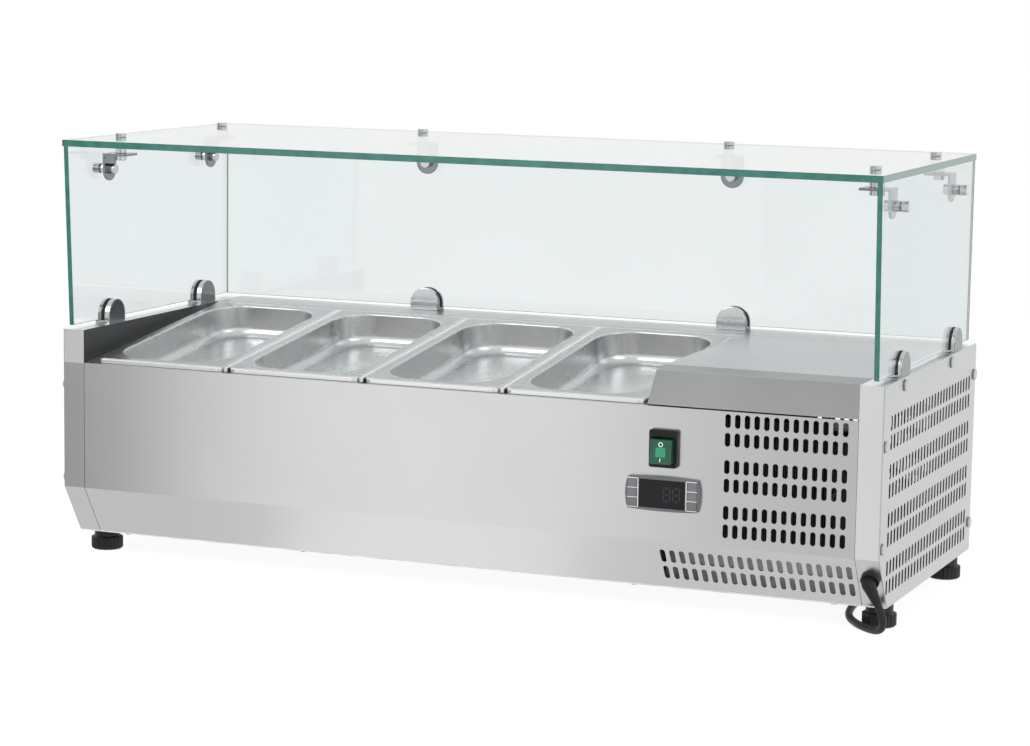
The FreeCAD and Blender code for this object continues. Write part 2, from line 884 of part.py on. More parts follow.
# Well liner: a tub with a deck round its mouth, tilted with the pans
deck = box(
    "deck_sheet",
    ("-cap_in + seam", "sheet + seam", "-sheet"),
    ("hood_left - seam + cap_in - seam", "deck_length - sheet - seam", "sheet"),
    place_on_deck,
)
tub_outer = box(
    "tub_outer",
    ("tub_left - sheet", "tub_front - sheet", "-tub_depth - sheet"),
    ("tub_right - tub_left + 2 * sheet", "tub_back - tub_front + 2 * sheet", "tub_depth + sheet"),
    place_on_deck,
)
tub_inner = box(
    "tub_inner",
    ("tub_left", "tub_front", "-tub_depth"),
    ("tub_right - tub_left", "tub_back - tub_front", "tub_depth + 2 * sheet"),
    place_on_deck,
)
node(cut("well_liner", joined("liner_block", [deck, tub_outer]), [tub_inner]))

# Insulation: foam round the tub, and a slab inside the left end
foam_back = "ledge_in - 2 * sheet"
foam_drop = "(sheet + foam_gap) / cos(tilt)"
foam_block = plate(
    "foam_block",
    core_profile
    + [
        ("body_depth - sheet - foam_gap", "cap_top - ledge_lip - foam_gap"),
        (foam_back, "cap_top - ledge_lip - foam_gap"),
        (foam_back, "front_top + (%s) * tan(tilt) - %s" % (foam_back, foam_drop)),
        ("sheet + foam_gap", "front_top - " + foam_drop),
    ],
    "bulkhead_x + cap_in - 2 * foam_gap",
    "-cap_in + foam_gap",
)
tub_room = box(
    "tub_room",
    ("tub_left - sheet - foam_gap", "tub_front - sheet - foam_gap", "-tub_depth - sheet - coil_pocket"),
    (
        "tub_right - tub_left + 2 * (sheet + foam_gap)",
        "tub_back - tub_front + 2 * (sheet + foam_gap)",
        "tub_depth + coil_pocket + cap_rise",
    ),
    place_on_deck,
)
coil_ways = [
    box(
        "coil_way_" + key,
        ("tub_right", "(%s) - 2 * evaporator_radius" % along, "-tub_depth - sheet - coil_pocket"),
        ("bulkhead_x - tub_right + sheet", "4 * evaporator_radius", "coil_pocket"),
        place_on_deck,
    )
    for key, along in (("low", PASS_LOW), ("high", PASS_HIGH))
]
hood_room = box(
    "hood_room",
    ("hood_left - foam_gap", "front_y", "front_top - bulkhead_drop"),
    ("hood_width", "body_depth", "cap_rise + bulkhead_drop"),
)


def pilot(name, axis, at):
    """Make the cutter for the way that a screw's shank takes into the foam."""
    places = dict(zip("xyz", at))
    places[axis] = "%s - 2 * screw_length" % places[axis]
    return rod(name, axis, tuple(places[k] for k in "xyz"), "screw_shank + foam_gap", "4 * screw_length")


foam_tools = [joined("foam_room", [tub_room, hood_room] + coil_ways)]
foam_tools += [
    pilot("back_pilot_%d" % i, "y", (x, "back_y", z)) for i, (x, z) in enumerate(back_spots[2:])
]
foam_tools += [
    pilot("tray_pilot_%d" % i, "z", (x, y, "tray_height")) for i, (x, y) in enumerate(tray_spots[1:])
]
foam_main = cut("foam_main", foam_block, foam_tools)
foam_end = box(
    "foam_end",
    (
        "-half + screw_length + foam_gap",
        "front_y + slope_depth + sheet",
        "tray_top + stud_length + 2 * foam_gap",
    ),
    (
        "cap_width - screw_length - sheet - 2 * foam_gap",
        "body_depth - slope_depth - 2 * sheet - foam_gap",
        "cap_top - tray_top - stud_length - sheet - 3 * foam_gap",
    ),
)
node(grouped("insulation", [foam_main, foam_end]))

# Divider bars between the pans
bars = [
    box(
        "bar_%d" % i,
        (
            "pan_start + %d * (pan_width + pan_gap) - (pan_gap + bar_width) / 2" % i,
            "pan_front",
            "0",
        ),
        ("bar_width", "pan_length", "pan_lip"),
        place_on_deck,
    )
    for i in range(1, PAN_COUNT)
]
node(grouped("divider_bars", bars))


def centred(width, length, start):
    """Return a rectangle about X = 0 that starts at a given depth."""
    return [
        ("-(%s) / 2" % width, start),
        ("(%s) / 2" % width, start),
        ("(%s) / 2" % width, "(%s) + (%s)" % (start, length)),
        ("-(%s) / 2" % width, "(%s) + (%s)" % (start, length)),
    ]


def upright(edge, height, tolerance=0.5):
    """Tell whether an edge climbs through a given height."""
    zs = [vertex.Z for vertex in edge.Vertexes]
    return len(zs) == 2 and abs(abs(zs[0] - zs[1]) - height) < tolerance


def at_height(edge, height):
    """Tell whether an edge lies flat at a given height."""
    return edge.BoundBox.ZLength < 0.01 and abs(edge.BoundBox.ZMin - height) < 0.01


def tapered_bin(body, name, width, length, start, depth, corner, bottom_round, top):
    """Raise a tapered block downwards from a height, with rounded corners and a rounded bottom."""
    base = outline(body, "XY_Plane", centred(width, length, start), name + "_outline", top)
    pad(body, base, depth, name + "_block", True, "-pan_taper")
    tall = value(depth)
    round_edges(body, name + "_corners", corner, lambda edge: upright(edge, tall))
    bottom = value("(%s) - (%s)" % (top, depth))
    round_edges(body, name + "_bottom", bottom_round, lambda edge: at_height(edge, bottom))


def pan(number):
    """Make one pan: a flat rim with a turned-down lip, and a tapered bin below it."""
    name = "pan_%d" % number
    outer = doc.addObject("PartDesign::Body", name + "_outer")
    rim_outline = outline(outer, "XY_Plane", centred("pan_width", "pan_length", "0"), name + "_rim_outline")
    pad(outer, rim_outline, "pan_lip", name + "_rim", True)
    under = outline(
        outer,
        "XY_Plane",
        centred("pan_width - 2 * pan_wall", "pan_length - 2 * pan_wall", "pan_wall"),
        name + "_under_outline",
        "-pan_wall",
    )
    hollow = outer.newObject("PartDesign::Pocket", name + "_under")
    hollow.Profile = under
    hollow.setExpression("Length", bind("pan_lip"))
    lip = value("pan_lip")
    inner_lip = value("pan_lip - pan_wall")
    round_edges(
        outer, name + "_under_corners", "rim_corner - pan_wall", lambda edge: upright(edge, inner_lip)
    )
    round_edges(outer, name + "_rim_corners", "rim_corner", lambda edge: upright(edge, lip))

    body_outer = doc.addObject("PartDesign::Body", name + "_bin")
    tapered_bin(
        body_outer, name + "_bin", "pan_width - 2 * pan_rim", "pan_length - 2 * pan_rim", "pan_rim",
        "pan_depth", "pan_corner", "pan_bottom_round", "0",
    )
    cavity = doc.addObject("PartDesign::Body", name + "_cavity")
    tapered_bin(
        cavity, name + "_cavity", "pan_width - 2 * pan_rim - 2 * pan_wall",
        "pan_length - 2 * pan_rim - 2 * pan_wall", "pan_rim + pan_wall",
        "pan_depth - pan_wall", "pan_corner - pan_wall", "pan_bottom_round - pan_wall", "0",
    )
    x = "pan_start + pan_width / 2 + %d * (pan_width + pan_gap)" % (number - 1)
    for body in (outer, body_outer, cavity):
        place_on_deck(body, x, "pan_front", "pan_rest")
    return cut(name, joined(name + "_block", [outer, body_outer]), [cavity])


for number in range(1, PAN_COUNT + 1):
    node(pan(number))

# Glass guard: two side panes, a back pane between them and a top pane over them
side_pane = [
    ("glass_setback", "glass_foot"),
    ("body_depth - back_inset", "glass_foot"),
    ("body_depth - back_inset", "pane_top"),
    ("glass_setback - glass_rake", "pane_top"),
]
bracket_depths = ("bracket_front", "body_depth - bracket_rear")
for name, side, x in (("left_glass", -1, "-pane_in - glass_thick"), ("right_glass", 1, "pane_in")):
    pane = plate(name + "_pane", side_pane, "glass_thick", x)
    holes = [
        rod(
            "%s_hole_%d" % (name, i), "x", (x + " - glass_thick", "front_y + " + depth, "bolt_z"),
            "pin_radius + fit", "3 * glass_thick",
        )
        for i, depth in enumerate(bracket_depths)
    ]
    node(cut(name, pane, holes))
back_pane = box(
    "back_pane",
    ("-pane_in + pane_gap", "front_y + back_pane_in", "glass_foot"),
    ("2 * (pane_in - pane_gap)", "glass_thick", "pane_top - glass_foot"),
)
back_glass_holes = [
    rod(
        "back_glass_hole_" + key,
        "y",
        (side + " * bracket_side", "front_y + back_pane_in - glass_thick", "bolt_z"),
        "pin_radius + fit",
        "3 * glass_thick",
    )
    for key, side in (("left", "-1"), ("right", "1"))
]
node(cut("back_glass", back_pane, back_glass_holes))
top_pane = box(
    "top_pane",
    ("-pane_in - glass_thick - top_lap", "front_y - glass_overhang", "glass_top - top_thick"),
    (
        "2 * (pane_in + glass_thick + top_lap)",
        "glass_overhang + body_depth - back_inset + top_lap",
        "top_thick",
    ),
)


def stations(depths, side_reach):
    """Return placements round the guard: origin on a pane's inner face, local X out through the pane."""
    spots = []
    for depth in depths:
        for sign, turn in ((1, 0), (-1, 180)):
            foot = Vector(sign * value("pane_in"), value("front_y + " + depth), 0)
            spots.append(FreeCAD.Placement(foot, Rotation(Z_AXIS, turn)))
    for sign in (-1, 1):
        foot = Vector(sign * value(side_reach), value("front_y + back_pane_in"), 0)
        spots.append(FreeCAD.Placement(foot, Rotation(Z_AXIS, 90)))
    return spots


def repeated(name, shape, spots):
    """Make a sub-part of equal solids at several stations."""
    copies = []
    for spot in spots:
        copy = shape.copy()
        copy.Placement = spot
        copies.append(copy)
    return shaped(name, Part.makeCompound(copies))


def stacked(steps, start, base, axis):
    """Fuse a row of coaxial cylinders, each a radius and a length, from a point on an axis."""
    solid = None
    reach = start
    for radius, length in steps:
        part = Part.makeCylinder(radius, length, base + axis * reach, axis)
        solid = part if solid is None else solid.fuse(part)
        reach += length
    return solid.removeSplitter()


bracket_spots = stations(bracket_depths, "bracket_side")
post_base = Vector(-value("post_inset"), 0, value("glass_top"))
hole_base = post_base - Z_AXIS * value("2 * top_thick")
top_hole = Part.makeCylinder(value("pin_radius + fit"), value("3 * top_thick"), hole_base, Z_AXIS)
top_holes = repeated("top_holes", top_hole, bracket_spots)
node(cut("top_glass", top_pane, [top_holes]))
post = stacked(
    [
        (value("post_radius"), value("post_cap")),
        (value("pin_radius"), value("top_thick")),
        (value("post_radius"), value("post_body")),
        (value("pin_radius"), value("strip_thick")),
        (value("post_radius"), value("post_nut")),
    ],
    -value("post_cap"),
    post_base,
    -Z_AXIS,
)
node(repeated("bracket_posts", post, bracket_spots))
bolt_base = Vector(value("glass_thick + bolt_head"), 0, value("bolt_z"))
bolt = stacked(
    [
        (value("bolt_radius"), value("bolt_head")),
        (value("pin_radius"), value("glass_thick")),
        (value("bolt_radius"), value("bolt_spacer")),
        (value("pin_radius"), value("strip_thick")),
        (value("bolt_radius"), value("bolt_end")),
    ],
    0,
    bolt_base,
    -X_AXIS,
)
node(repeated("standoff_bolts", bolt, bracket_spots))


def bracket_bar():
    """Return an L-shaped bar: a level leg under a post and a leg down to a round end at a bolt."""
    width = value("strip_width")
    thick = value("strip_thick")
    top = value("glass_top - top_thick - post_body")
    far = -value("bolt_spacer") - thick
    inner = -value("post_inset") - width / 2
    level = Part.makeBox(far + thick - inner, width, thick, Vector(inner, -width / 2, top - thick))
    drop = Part.makeBox(thick, width, top - value("bolt_z"), Vector(far, -width / 2, value("bolt_z")))
    end = Part.makeCylinder(width / 2, thick, Vector(far, 0, value("bolt_z")), X_AXIS)
    bar = level.fuse([drop, end]).removeSplitter()
    hole = value("pin_radius + fit")
    post_hole = Part.makeCylinder(hole, 4 * thick, Vector(-value("post_inset"), 0, top - 2 * thick), Z_AXIS)
    bolt_hole = Part.makeCylinder(hole, 4 * thick, Vector(far - thick, 0, value("bolt_z")), X_AXIS)
    return bar.cut([post_hole, bolt_hole])


node(repeated("bracket_bars", bracket_bar(), bracket_spots))


def d_plate(start, thickness, low):
    """Return a D-shaped plate that stands along a pane: straight sides below a half round."""
    reach = value("clamp_width / 2")
    straight = value("cap_top + clamp_straight")
    left_high = Vector(start, -reach, straight)
    left_low = Vector(start, -reach, low)
    right_low = Vector(start, reach, low)
    right_high = Vector(start, reach, straight)
    edges = [
        Part.LineSegment(left_high, left_low),
        Part.LineSegment(left_low, right_low),
        Part.LineSegment(right_low, right_high),
        Part.Arc(right_high, Vector(start, 0, straight + reach), left_high),
    ]
    return Part.Face(Part.Wire([edge.toShape() for edge in edges])).extrude(Vector(thickness, 0, 0))


def clamp_shapes():
    """Return the metal clamp that holds a pane's foot, and the gasket that lines it."""
    glass = value("glass_thick")
    gasket = value("gasket")
    inner = value("clamp_inner")
    outer = value("clamp_outer")
    width = value("clamp_width")
    low = value("cap_top")
    seat = low + value("clamp_floor")
    floor = Part.makeBox(
        glass + 2 * gasket + inner + outer, width, seat - low, Vector(-gasket - inner, -width / 2, low)
    )
    jaws = [d_plate(-gasket - inner, inner, low), d_plate(glass + gasket, outer, low)]
    clamp = floor.fuse(jaws).removeSplitter()
    pad_floor = Part.makeBox(glass + 2 * gasket, width, gasket, Vector(-gasket, -width / 2, seat))
    lining = pad_floor.fuse([d_plate(-gasket, gasket, seat), d_plate(glass, gasket, seat)]).removeSplitter()
    return clamp, lining


clamp_spots = stations(("clamp_front", "body_depth - clamp_rear"), "clamp_side")
clamp_solid, lining_solid = clamp_shapes()
node(repeated("glass_clamps", clamp_solid, clamp_spots))
node(repeated("clamp_gaskets", lining_solid, clamp_spots))

# Rocker switch: a bezel with its body behind the panel, and a rocker on an axle in it
switch_left = "bulkhead_x + 2 * sheet + seam"
bezel_front = box(
    "switch_face",
    ("control_x - switch_width / 2", "front_y - switch_proud", "switch_z - switch_height / 2"),
    ("switch_width", "switch_proud", "switch_height"),
)
bezel_body = box(
    "switch_case",
    (switch_left, "front_y", "switch_z - switch_height / 2 + sheet + seam"),
    (
        "control_x + switch_width / 2 - sheet - seam - (%s)" % switch_left,
        "switch_body",
        "switch_height - 2 * sheet - 2 * seam",
    ),
)
rocker_room = box(
    "rocker_room",
    (
        "control_x - rocker_width / 2 - rocker_gap",
        "front_y - switch_proud - sheet",
        "rocker_z - rocker_reach",
    ),
    (
        "rocker_width + 2 * rocker_gap",
        "sheet + rocker_depth + rocker_back + rocker_swing + rocker_gap",
        "2 * rocker_reach",
    ),
)
switch_axle = rod(
    "switch_axle",
    "x",
    ("control_x - rocker_width / 2 - 2 * rocker_gap", "front_y + rocker_in", "rocker_z"),
    "rocker_axle",
    "rocker_width + 4 * rocker_gap",
)
switch_shell = cut("switch_shell", joined("switch_block", [bezel_front, bezel_body]), [rocker_room])
node(joined("switch_bezel", [switch_shell, switch_axle]))
rocker_block = plate(
    "rocker_block",
    [
        ("rocker_in + rocker_back", "rocker_z + rocker_half"),
        ("rocker_in + rocker_back", "rocker_z - rocker_half"),
        ("rocker_face - rocker_half * tan(rocker_throw)", "rocker_z - rocker_half"),
        ("rocker_face", "rocker_z"),
        ("rocker_face", "rocker_z + rocker_half"),
    ],
    "rocker_width",
    "control_x - rocker_width / 2",
)
rocker_bore = rod(
    "rocker_bore",
    "x",
    ("control_x - rocker_width / 2 - rocker_gap", "front_y + rocker_in", "rocker_z"),
    "rocker_axle + fit",
    "rocker_width + 2 * rocker_gap",
)
node(cut("switch_rocker", rocker_block, [rocker_bore]))


def bowed_face():
    """Return the controller's front: a block whose four sides bow out between its corners."""
    reach = value("control_width / 2")
    rise = value("control_height / 2")
    corner_x = value("control_width / 2 - control_side_bow")
    corner_z = value("control_height / 2 - control_top_bow")
    corners = [
        Vector(-corner_x, 0, -corner_z),
        Vector(corner_x, 0, -corner_z),
        Vector(corner_x, 0, corner_z),
        Vector(-corner_x, 0, corner_z),
    ]
    middles = [Vector(0, 0, -rise), Vector(reach, 0, 0), Vector(0, 0, rise), Vector(-reach, 0, 0)]
    edges = [
        Part.Arc(corners[i], middles[i], corners[(i + 1) % len(corners)]).toShape()
        for i in range(len(corners))
    ]
    return Part.Face(Part.Wire(edges)).extrude(Vector(0, value("control_proud"), 0))


# Temperature controller: a bezel with its case behind the panel, a window and six keys
face_in = "front_y - control_proud"
controller_face = shaped("controller_face", bowed_face())
place(controller_face, "control_x", face_in, "control_z")
controller_case = box(
    "controller_case",
    (switch_left, "front_y", "control_z - control_height / 2 + 2 * sheet + seam"),
    (
        "control_x + control_width / 2 - 4 * sheet - seam - (%s)" % switch_left,
        "control_body",
        "control_height - 4 * sheet - 2 * seam",
    ),
)
display_room = box(
    "display_room",
    ("control_x - display_width / 2", face_in, "control_z - display_height / 2"),
    ("display_width", "display_thick", "display_height"),
)
KEY_REACH = "(display_width / 2 + control_width / 2) / 2"
key_rooms = []
key_blocks = []
for i, (side, level) in enumerate([(side, level) for side in (-1, 1) for level in (1, 0, -1)], start=1):
    x = "control_x + %d * %s" % (side, KEY_REACH)
    z = "control_z + %d * key_pitch" % level
    key_rooms.append(
        box(
            "key_room_%d" % i,
            (x + " - key_width / 2 - key_gap", face_in, z + " - key_height / 2 - key_gap"),
            ("key_width + 2 * key_gap", "key_depth + 2 * key_travel", "key_height + 2 * key_gap"),
        )
    )
    key_blocks.append(
        (
            "key_%d" % i,
            (x + " - key_width / 2", face_in + " - key_travel", z + " - key_height / 2"),
            ("key_width", "key_depth + key_travel", "key_height"),
        )
    )
controller_block = joined("controller_block", [controller_face, controller_case])
node(cut("controller_bezel", controller_block, [display_room] + key_rooms))
node(
    box(
        "controller_window",
        (
            "control_x - display_width / 2 + seam",
            face_in + " - seam",
            "control_z - display_height / 2 + seam",
        ),
        ("display_width - 2 * seam", "display_thick + seam", "display_height - 2 * seam"),
    )
)
for name, at, extent in key_blocks:
    node(box(name, at, extent))


def levelling_foot(name, x, y):
    """Make a ribbed foot with a threaded stud, turned round its own axis."""
    body = doc.addObject("PartDesign::Body", name)
    profile = [
        ("0", "0"),
        ("foot_radius - foot_edge", "0"),
        ("foot_radius", "foot_edge"),
        ("foot_radius", "foot_band"),
        ("foot_neck", "foot_band + foot_edge"),
        ("foot_neck", "tray_height - foot_seat"),
        ("foot_stud", "tray_height - foot_seat"),
        ("foot_stud", "tray_top + stud_length"),
        ("0", "tray_top + stud_length"),
    ]
    sketch = outline(body, "XZ_Plane", profile, name + "_outline")
    turned = body.newObject("PartDesign::Revolution", name + "_turned")
    turned.Profile = sketch
    turned.ReferenceAxis = (sketch, ["V_Axis"])
    turned.Angle = 360
    doc.recompute()
    before = body.Shape.Volume
    groove_sketch = body.newObject("Sketcher::SketchObject", name + "_groove_outline")
    plane = [f for f in body.Origin.OriginFeatures if f.Role == "XY_Plane"][0]
    groove_sketch.AttachmentSupport = [(plane, "")]
    groove_sketch.MapMode = "FlatFace"
    rib = value("rib_radius")
    rib_reach = "foot_radius + rib_radius / 4"
    groove_sketch.addGeometry(Part.Circle(Vector(value(rib_reach), 0, 0), Z_AXIS, rib), False)
    radius = groove_sketch.addConstraint(Sketcher.Constraint("Radius", 0, rib))
    groove_sketch.setExpression("Constraints[%d]" % radius, bind("rib_radius"))
    groove_sketch.addConstraint(Sketcher.Constraint("PointOnObject", 0, 3, -1))
    reach = groove_sketch.addConstraint(Sketcher.Constraint("DistanceX", -1, 1, 0, 3, value(rib_reach)))
    groove_sketch.setExpression("Constraints[%d]" % reach, bind(rib_reach))
    groove = body.newObject("PartDesign::Pocket", name + "_groove")
    groove.Profile = groove_sketch
    groove.Reversed = True
    groove.setExpression("Length", bind("foot_band + foot_edge / 2"))
    doc.recompute()
    ring = body.newObject("PartDesign::PolarPattern", name + "_ribs")
    ring.Originals = [groove]
    ring.Axis = (groove_sketch, ["N_Axis"])
    ring.Angle = 360
    ring.Occurrences = FOOT_RIBS
    body.Tip = ring
    doc.recompute()
    if body.Shape.Volume >= before:
        raise RuntimeError("the ribs of %s cut nothing" % name)
    place(body, x, y, "0")
    return body


for key, (x, y) in foot_spots.items():
    node(levelling_foot("foot_" + key, x, y))
nuts = []
for key, (x, y) in foot_spots.items():
    hexagon = doc.addObject("Part::Prism", "nut_block_" + key)
    hexagon.Polygon = 6
    hexagon.setExpression("Circumradius", bind("nut_radius"))
    hexagon.setExpression("Height", bind("nut_height"))
    place(hexagon, x, y, "tray_top")
    bore = rod("nut_bore_" + key, "z", (x, y, "tray_height"), "foot_stud + fit", "nut_height + 4 * sheet")
    nuts.append(cut("nut_" + key, hexagon, [bore]))
node(grouped("foot_nuts", nuts))

# Compressor: a rounded can on a plate, four rubber mounts and a terminal box
can = rod("can_barrel", "z", ("unit_x", "front_y + can_in", "can_bottom"), "can_radius", "can_height")
doc.recompute()
can_round = doc.addObject("Part::Fillet", "can_round_top")
can_round.Base = can
top_edge = [
    i + 1 for i, edge in enumerate(can.Shape.Edges) if at_height(edge, value("can_bottom + can_height"))
][0]
can_round.Edges = [(top_edge, value("can_round"), value("can_round"))]
can_plate = box(
    "can_plate",
    ("unit_x - plate_size / 2", "front_y + can_in - plate_size / 2", "tray_top + mount_height"),
    ("plate_size", "plate_size", "plate_thick"),
)
node(joined("compressor", [can_round, can_plate]))
mounts = [
    rod(
        "mount_%d" % i,
        "z",
        (
            "unit_x + %d * (plate_size / 2 - mount_radius)" % side,
            "front_y + can_in + %d * (plate_size / 2 - mount_radius)" % step,
            "tray_top",
        ),
        "mount_radius",
        "mount_height",
    )
    for i, (side, step) in enumerate([(1, 1), (1, -1), (-1, 1), (-1, -1)])
]
node(grouped("compressor_mounts", mounts))
node(
    box(
        "terminal_box",
        (
            "unit_x - box_width / 2",
            "front_y + can_in - can_radius - pane_gap - box_depth",
            "can_bottom + plate_thick",
        ),
        ("box_width", "box_depth", "box_height"),
    )
)

# Condenser: a finned core between two flanged side plates that stand on the tray
coil_left = "coil_x - coil_width / 2"
coil_right = "coil_x + coil_width / 2"
core = box(
    "core_block",
    (coil_left, "front_y + coil_front", "core_bottom"),
    ("coil_width", "coil_thick", "coil_height"),
)
core_sides = [
    box(
        "core_%s_%s" % (part, key),
        (x, "front_y + coil_front", "tray_top"),
        (width, depth, "coil_height + 2 * coil_lift"),
    )
    for part, key, x, width, depth in (
        ("side", "left", coil_left + " - sheet", "sheet", "coil_thick"),
        ("side", "right", coil_right, "sheet", "coil_thick"),
        ("flange", "left", coil_left + " - sheet - coil_flange", "coil_flange", "sheet"),
        ("flange", "right", coil_right + " + sheet", "coil_flange", "sheet"),
    )
]
node(joined("condenser", [core] + core_sides))

# Fan shroud with its ring, blades, and a motor on a bracket
shroud_sheet = box(
    "shroud_sheet",
    (coil_left, "front_y + core_back", "core_bottom"),
    ("coil_width", "sheet", "coil_height"),
)
shroud_ring = rod(
    "shroud_ring", "y", ("coil_x", "front_y + core_back", "fan_z"), "fan_radius + 2 * fan_gap", "shroud_depth"
)
shroud_hole = rod(
    "shroud_hole",
    "y",
    ("coil_x", "front_y + core_back - sheet", "fan_z"),
    "fan_radius + fan_gap",
    "shroud_depth + 2 * sheet",
)
node(cut("fan_shroud", joined("shroud_block", [shroud_sheet, shroud_ring]), [shroud_hole]))


def fan_shape():
    """Return a hub with pitched blades and a blind bore from the back, about the Y axis."""
    depth = value("fan_depth")
    hub = Part.makeCylinder(value("fan_hub"), depth, Vector(), Y_AXIS)
    blades = []
    root = value("fan_hub - blade_root")
    chord = value("blade_chord")
    thick = value("blade_thick")
    span = value("fan_radius - blade_tip") - root
    for i in range(BLADE_COUNT):
        blade = Part.makeBox(span, thick, chord, Vector(root, -thick / 2, -chord / 2))
        blade.rotate(Vector(), X_AXIS, value("fan_pitch"))
        blade.translate(Vector(0, depth / 2, 0))
        blade.rotate(Vector(), Y_AXIS, 360.0 * i / BLADE_COUNT)
        blades.append(blade)
    bore = Part.makeCylinder(value("shaft_radius + fit"), depth, Y_AXIS * value("shaft_stop"), Y_AXIS)
    return hub.fuse(blades).removeSplitter().cut(bore)


fan_place = FreeCAD.Placement(Vector(value("coil_x"), value("front_y + fan_in"), value("fan_z")), Rotation())
node(shaped("fan_blades", fan_shape(), fan_place))
motor_parts = [
    rod("motor_can", "y", ("coil_x", "front_y + motor_in", "fan_z"), "motor_radius", "motor_length"),
    rod(
        "motor_shaft",
        "y",
        ("coil_x", "front_y + fan_in + shaft_stop + shaft_gap", "fan_z"),
        "shaft_radius",
        "motor_in - fan_in - shaft_stop",
    ),
    box(
        "motor_arm",
        (coil_left, "front_y + motor_in", "fan_z - arm_width / 2"),
        ("coil_width", "2 * sheet", "arm_width"),
    ),
]
motor_parts += [
    box(
        "motor_leg_" + key,
        (x, "front_y + core_back + sheet", "fan_z - arm_width / 2"),
        ("sheet", "motor_in - core_back - sheet", "arm_width"),
    )
    for key, x in (("left", coil_left), ("right", coil_right + " - sheet"))
]
node(joined("fan_motor", motor_parts))


def rounded_path(points, bend=None):
    """Return the edges and bend radii of a path of straight runs joined by tangent arcs.

    With no bend radius, each arc is as large as its two runs allow.
    """
    edges = []
    radii = []
    start = points[0]
    for i in range(1, len(points) - 1):
        corner = points[i]
        back = points[i - 1] - corner
        ahead = points[i + 1] - corner
        half_turn = (math.pi - back.getAngle(ahead)) / 2
        if bend is None:
            radius = RUN_SHARE * min(back.Length, ahead.Length) / math.tan(half_turn)
        else:
            radius = bend
        reach = radius * math.tan(half_turn)
        back.normalize()
        ahead.normalize()
        first = corner + back * reach
        last = corner + ahead * reach
        middle = back + ahead
        middle.normalize()
        deep = corner + middle * (radius / math.cos(half_turn) - radius)
        edges.append(Part.LineSegment(start, first).toShape())
        edges.append(Part.Arc(first, deep, last).toShape())
        radii.append(radius)
        start = last
    edges.append(Part.LineSegment(start, points[-1]).toShape())
    return edges, radii


def tube(edges, radius):
    """Sweep a round section along a smooth chain of edges."""
    path = Part.Wire(edges)
    first = edges[0]
    start = first.valueAt(first.FirstParameter)
    heading = first.tangentAt(first.FirstParameter)
    section = Part.Wire(Part.Circle(start, heading, radius).toShape())
    solid = path.makePipeShell([section], True, False)
    expected = math.pi * radius ** 2 * path.Length
    if abs(solid.Volume - expected) > 0.01 * expected:
        raise RuntimeError("a tube's volume is off: %.1f for %.1f" % (solid.Volume, expected))
    return solid, path.Length


def spot(x, y, z):
    """Return a point from three formulas, its depth counted from the front face."""
    return Vector(value(x), value("front_y + " + y), value(z))


def deck_spot(x, along, above):
    """Return a point given along and above the sloping deck."""
    return Vector(
        value(x),
        value("front_y + (%s) * cos(tilt) - (%s) * sin(tilt)" % (along, above)),
        value("front_top + (%s) * sin(tilt) + (%s) * cos(tilt)" % (along, above)),
    )


# Evaporator: a serpentine tube under the tub, its ends through the bulkhead
pass_step = value("((%s) - (%s))" % (PASS_HIGH, PASS_LOW)) / (EVAPORATOR_PASSES - 1)
turn_left = "tub_left + 2 * evaporator_radius"
turn_right = "tub_right - 2 * evaporator_radius"
coil_end = "bulkhead_x + 2 * sheet"
serpentine = []
for i in range(EVAPORATOR_PASSES):
    along = value(PASS_LOW) + i * pass_step
    right = coil_end if i in (0, EVAPORATOR_PASSES - 1) else turn_right
    ends = [turn_left, right] if i % 2 else [right, turn_left]
    serpentine += [deck_spot(x, along, "coil_below") for x in ends]
evaporator_edges, _ = rounded_path(serpentine, value("2.5 * evaporator_radius"))
evaporator, _ = tube(evaporator_edges, value("evaporator_radius"))
node(shaped("evaporator_coil", evaporator))

# Filter drier and the tubes that join the cooling unit
drier_x = coil_left + " + drier_radius"
drier_bottom = "can_bottom + 4 * drier_radius"
drier_at = (drier_x, "front_y + drier_front", drier_bottom)
node(rod("filter_drier", "z", drier_at, "drier_radius", "drier_height"))
run_left = "bulkhead_x + sheet + 3 * tube_radius"
run_right = "cap_in - 4 * tube_radius"
core_mid = "coil_front + coil_thick / 2"
low_end = deck_spot(coil_end, PASS_LOW, "coil_below")
high_end = deck_spot(coil_end, PASS_HIGH, "coil_below")
tube_runs = [
    (
        "tube_radius",
        [
            spot("unit_x + can_radius + pane_gap", "can_in", "can_bottom + outlet_height"),
            spot(run_right, "can_in", "can_bottom + outlet_height"),
            spot(run_right, core_mid, "can_bottom + outlet_height"),
            spot(run_right, core_mid, "core_bottom + inlet_height"),
            spot(coil_right + " + sheet", core_mid, "core_bottom + inlet_height"),
        ],
    ),
    (
        "tube_radius",
        [
            spot(coil_left + " - sheet", core_mid, "core_bottom + 4 * tube_radius"),
            spot(run_left, core_mid, "core_bottom + 4 * tube_radius"),
            spot(run_left, "drier_front", "core_bottom + 4 * tube_radius"),
            spot(drier_x, "drier_front", "core_bottom + 4 * tube_radius"),
            spot(drier_x, "drier_front", drier_bottom),
        ],
    ),
    (
        "capillary_radius",
        [
            spot(drier_x, "drier_front", drier_bottom + " + drier_height"),
            spot(drier_x, "drier_front", drier_bottom + " + drier_height + 8 * tube_radius"),
            spot(run_left, "drier_front", drier_bottom + " + drier_height + 8 * tube_radius"),
            Vector(value(run_left), low_end.y, value(drier_bottom + " + drier_height + 8 * tube_radius")),
            Vector(value(run_left), low_end.y, low_end.z),
            low_end,
        ],
    ),
    (
        "tube_radius",
        [
            high_end,
            Vector(value(run_left + " + 4 * tube_radius"), high_end.y, high_end.z),
            Vector(value(run_left + " + 4 * tube_radius"), value("front_y + can_in"), high_end.z),
            Vector(value("unit_x - can_radius - pane_gap"), value("front_y + can_in"), high_end.z),
        ],
    ),
]
runs = []
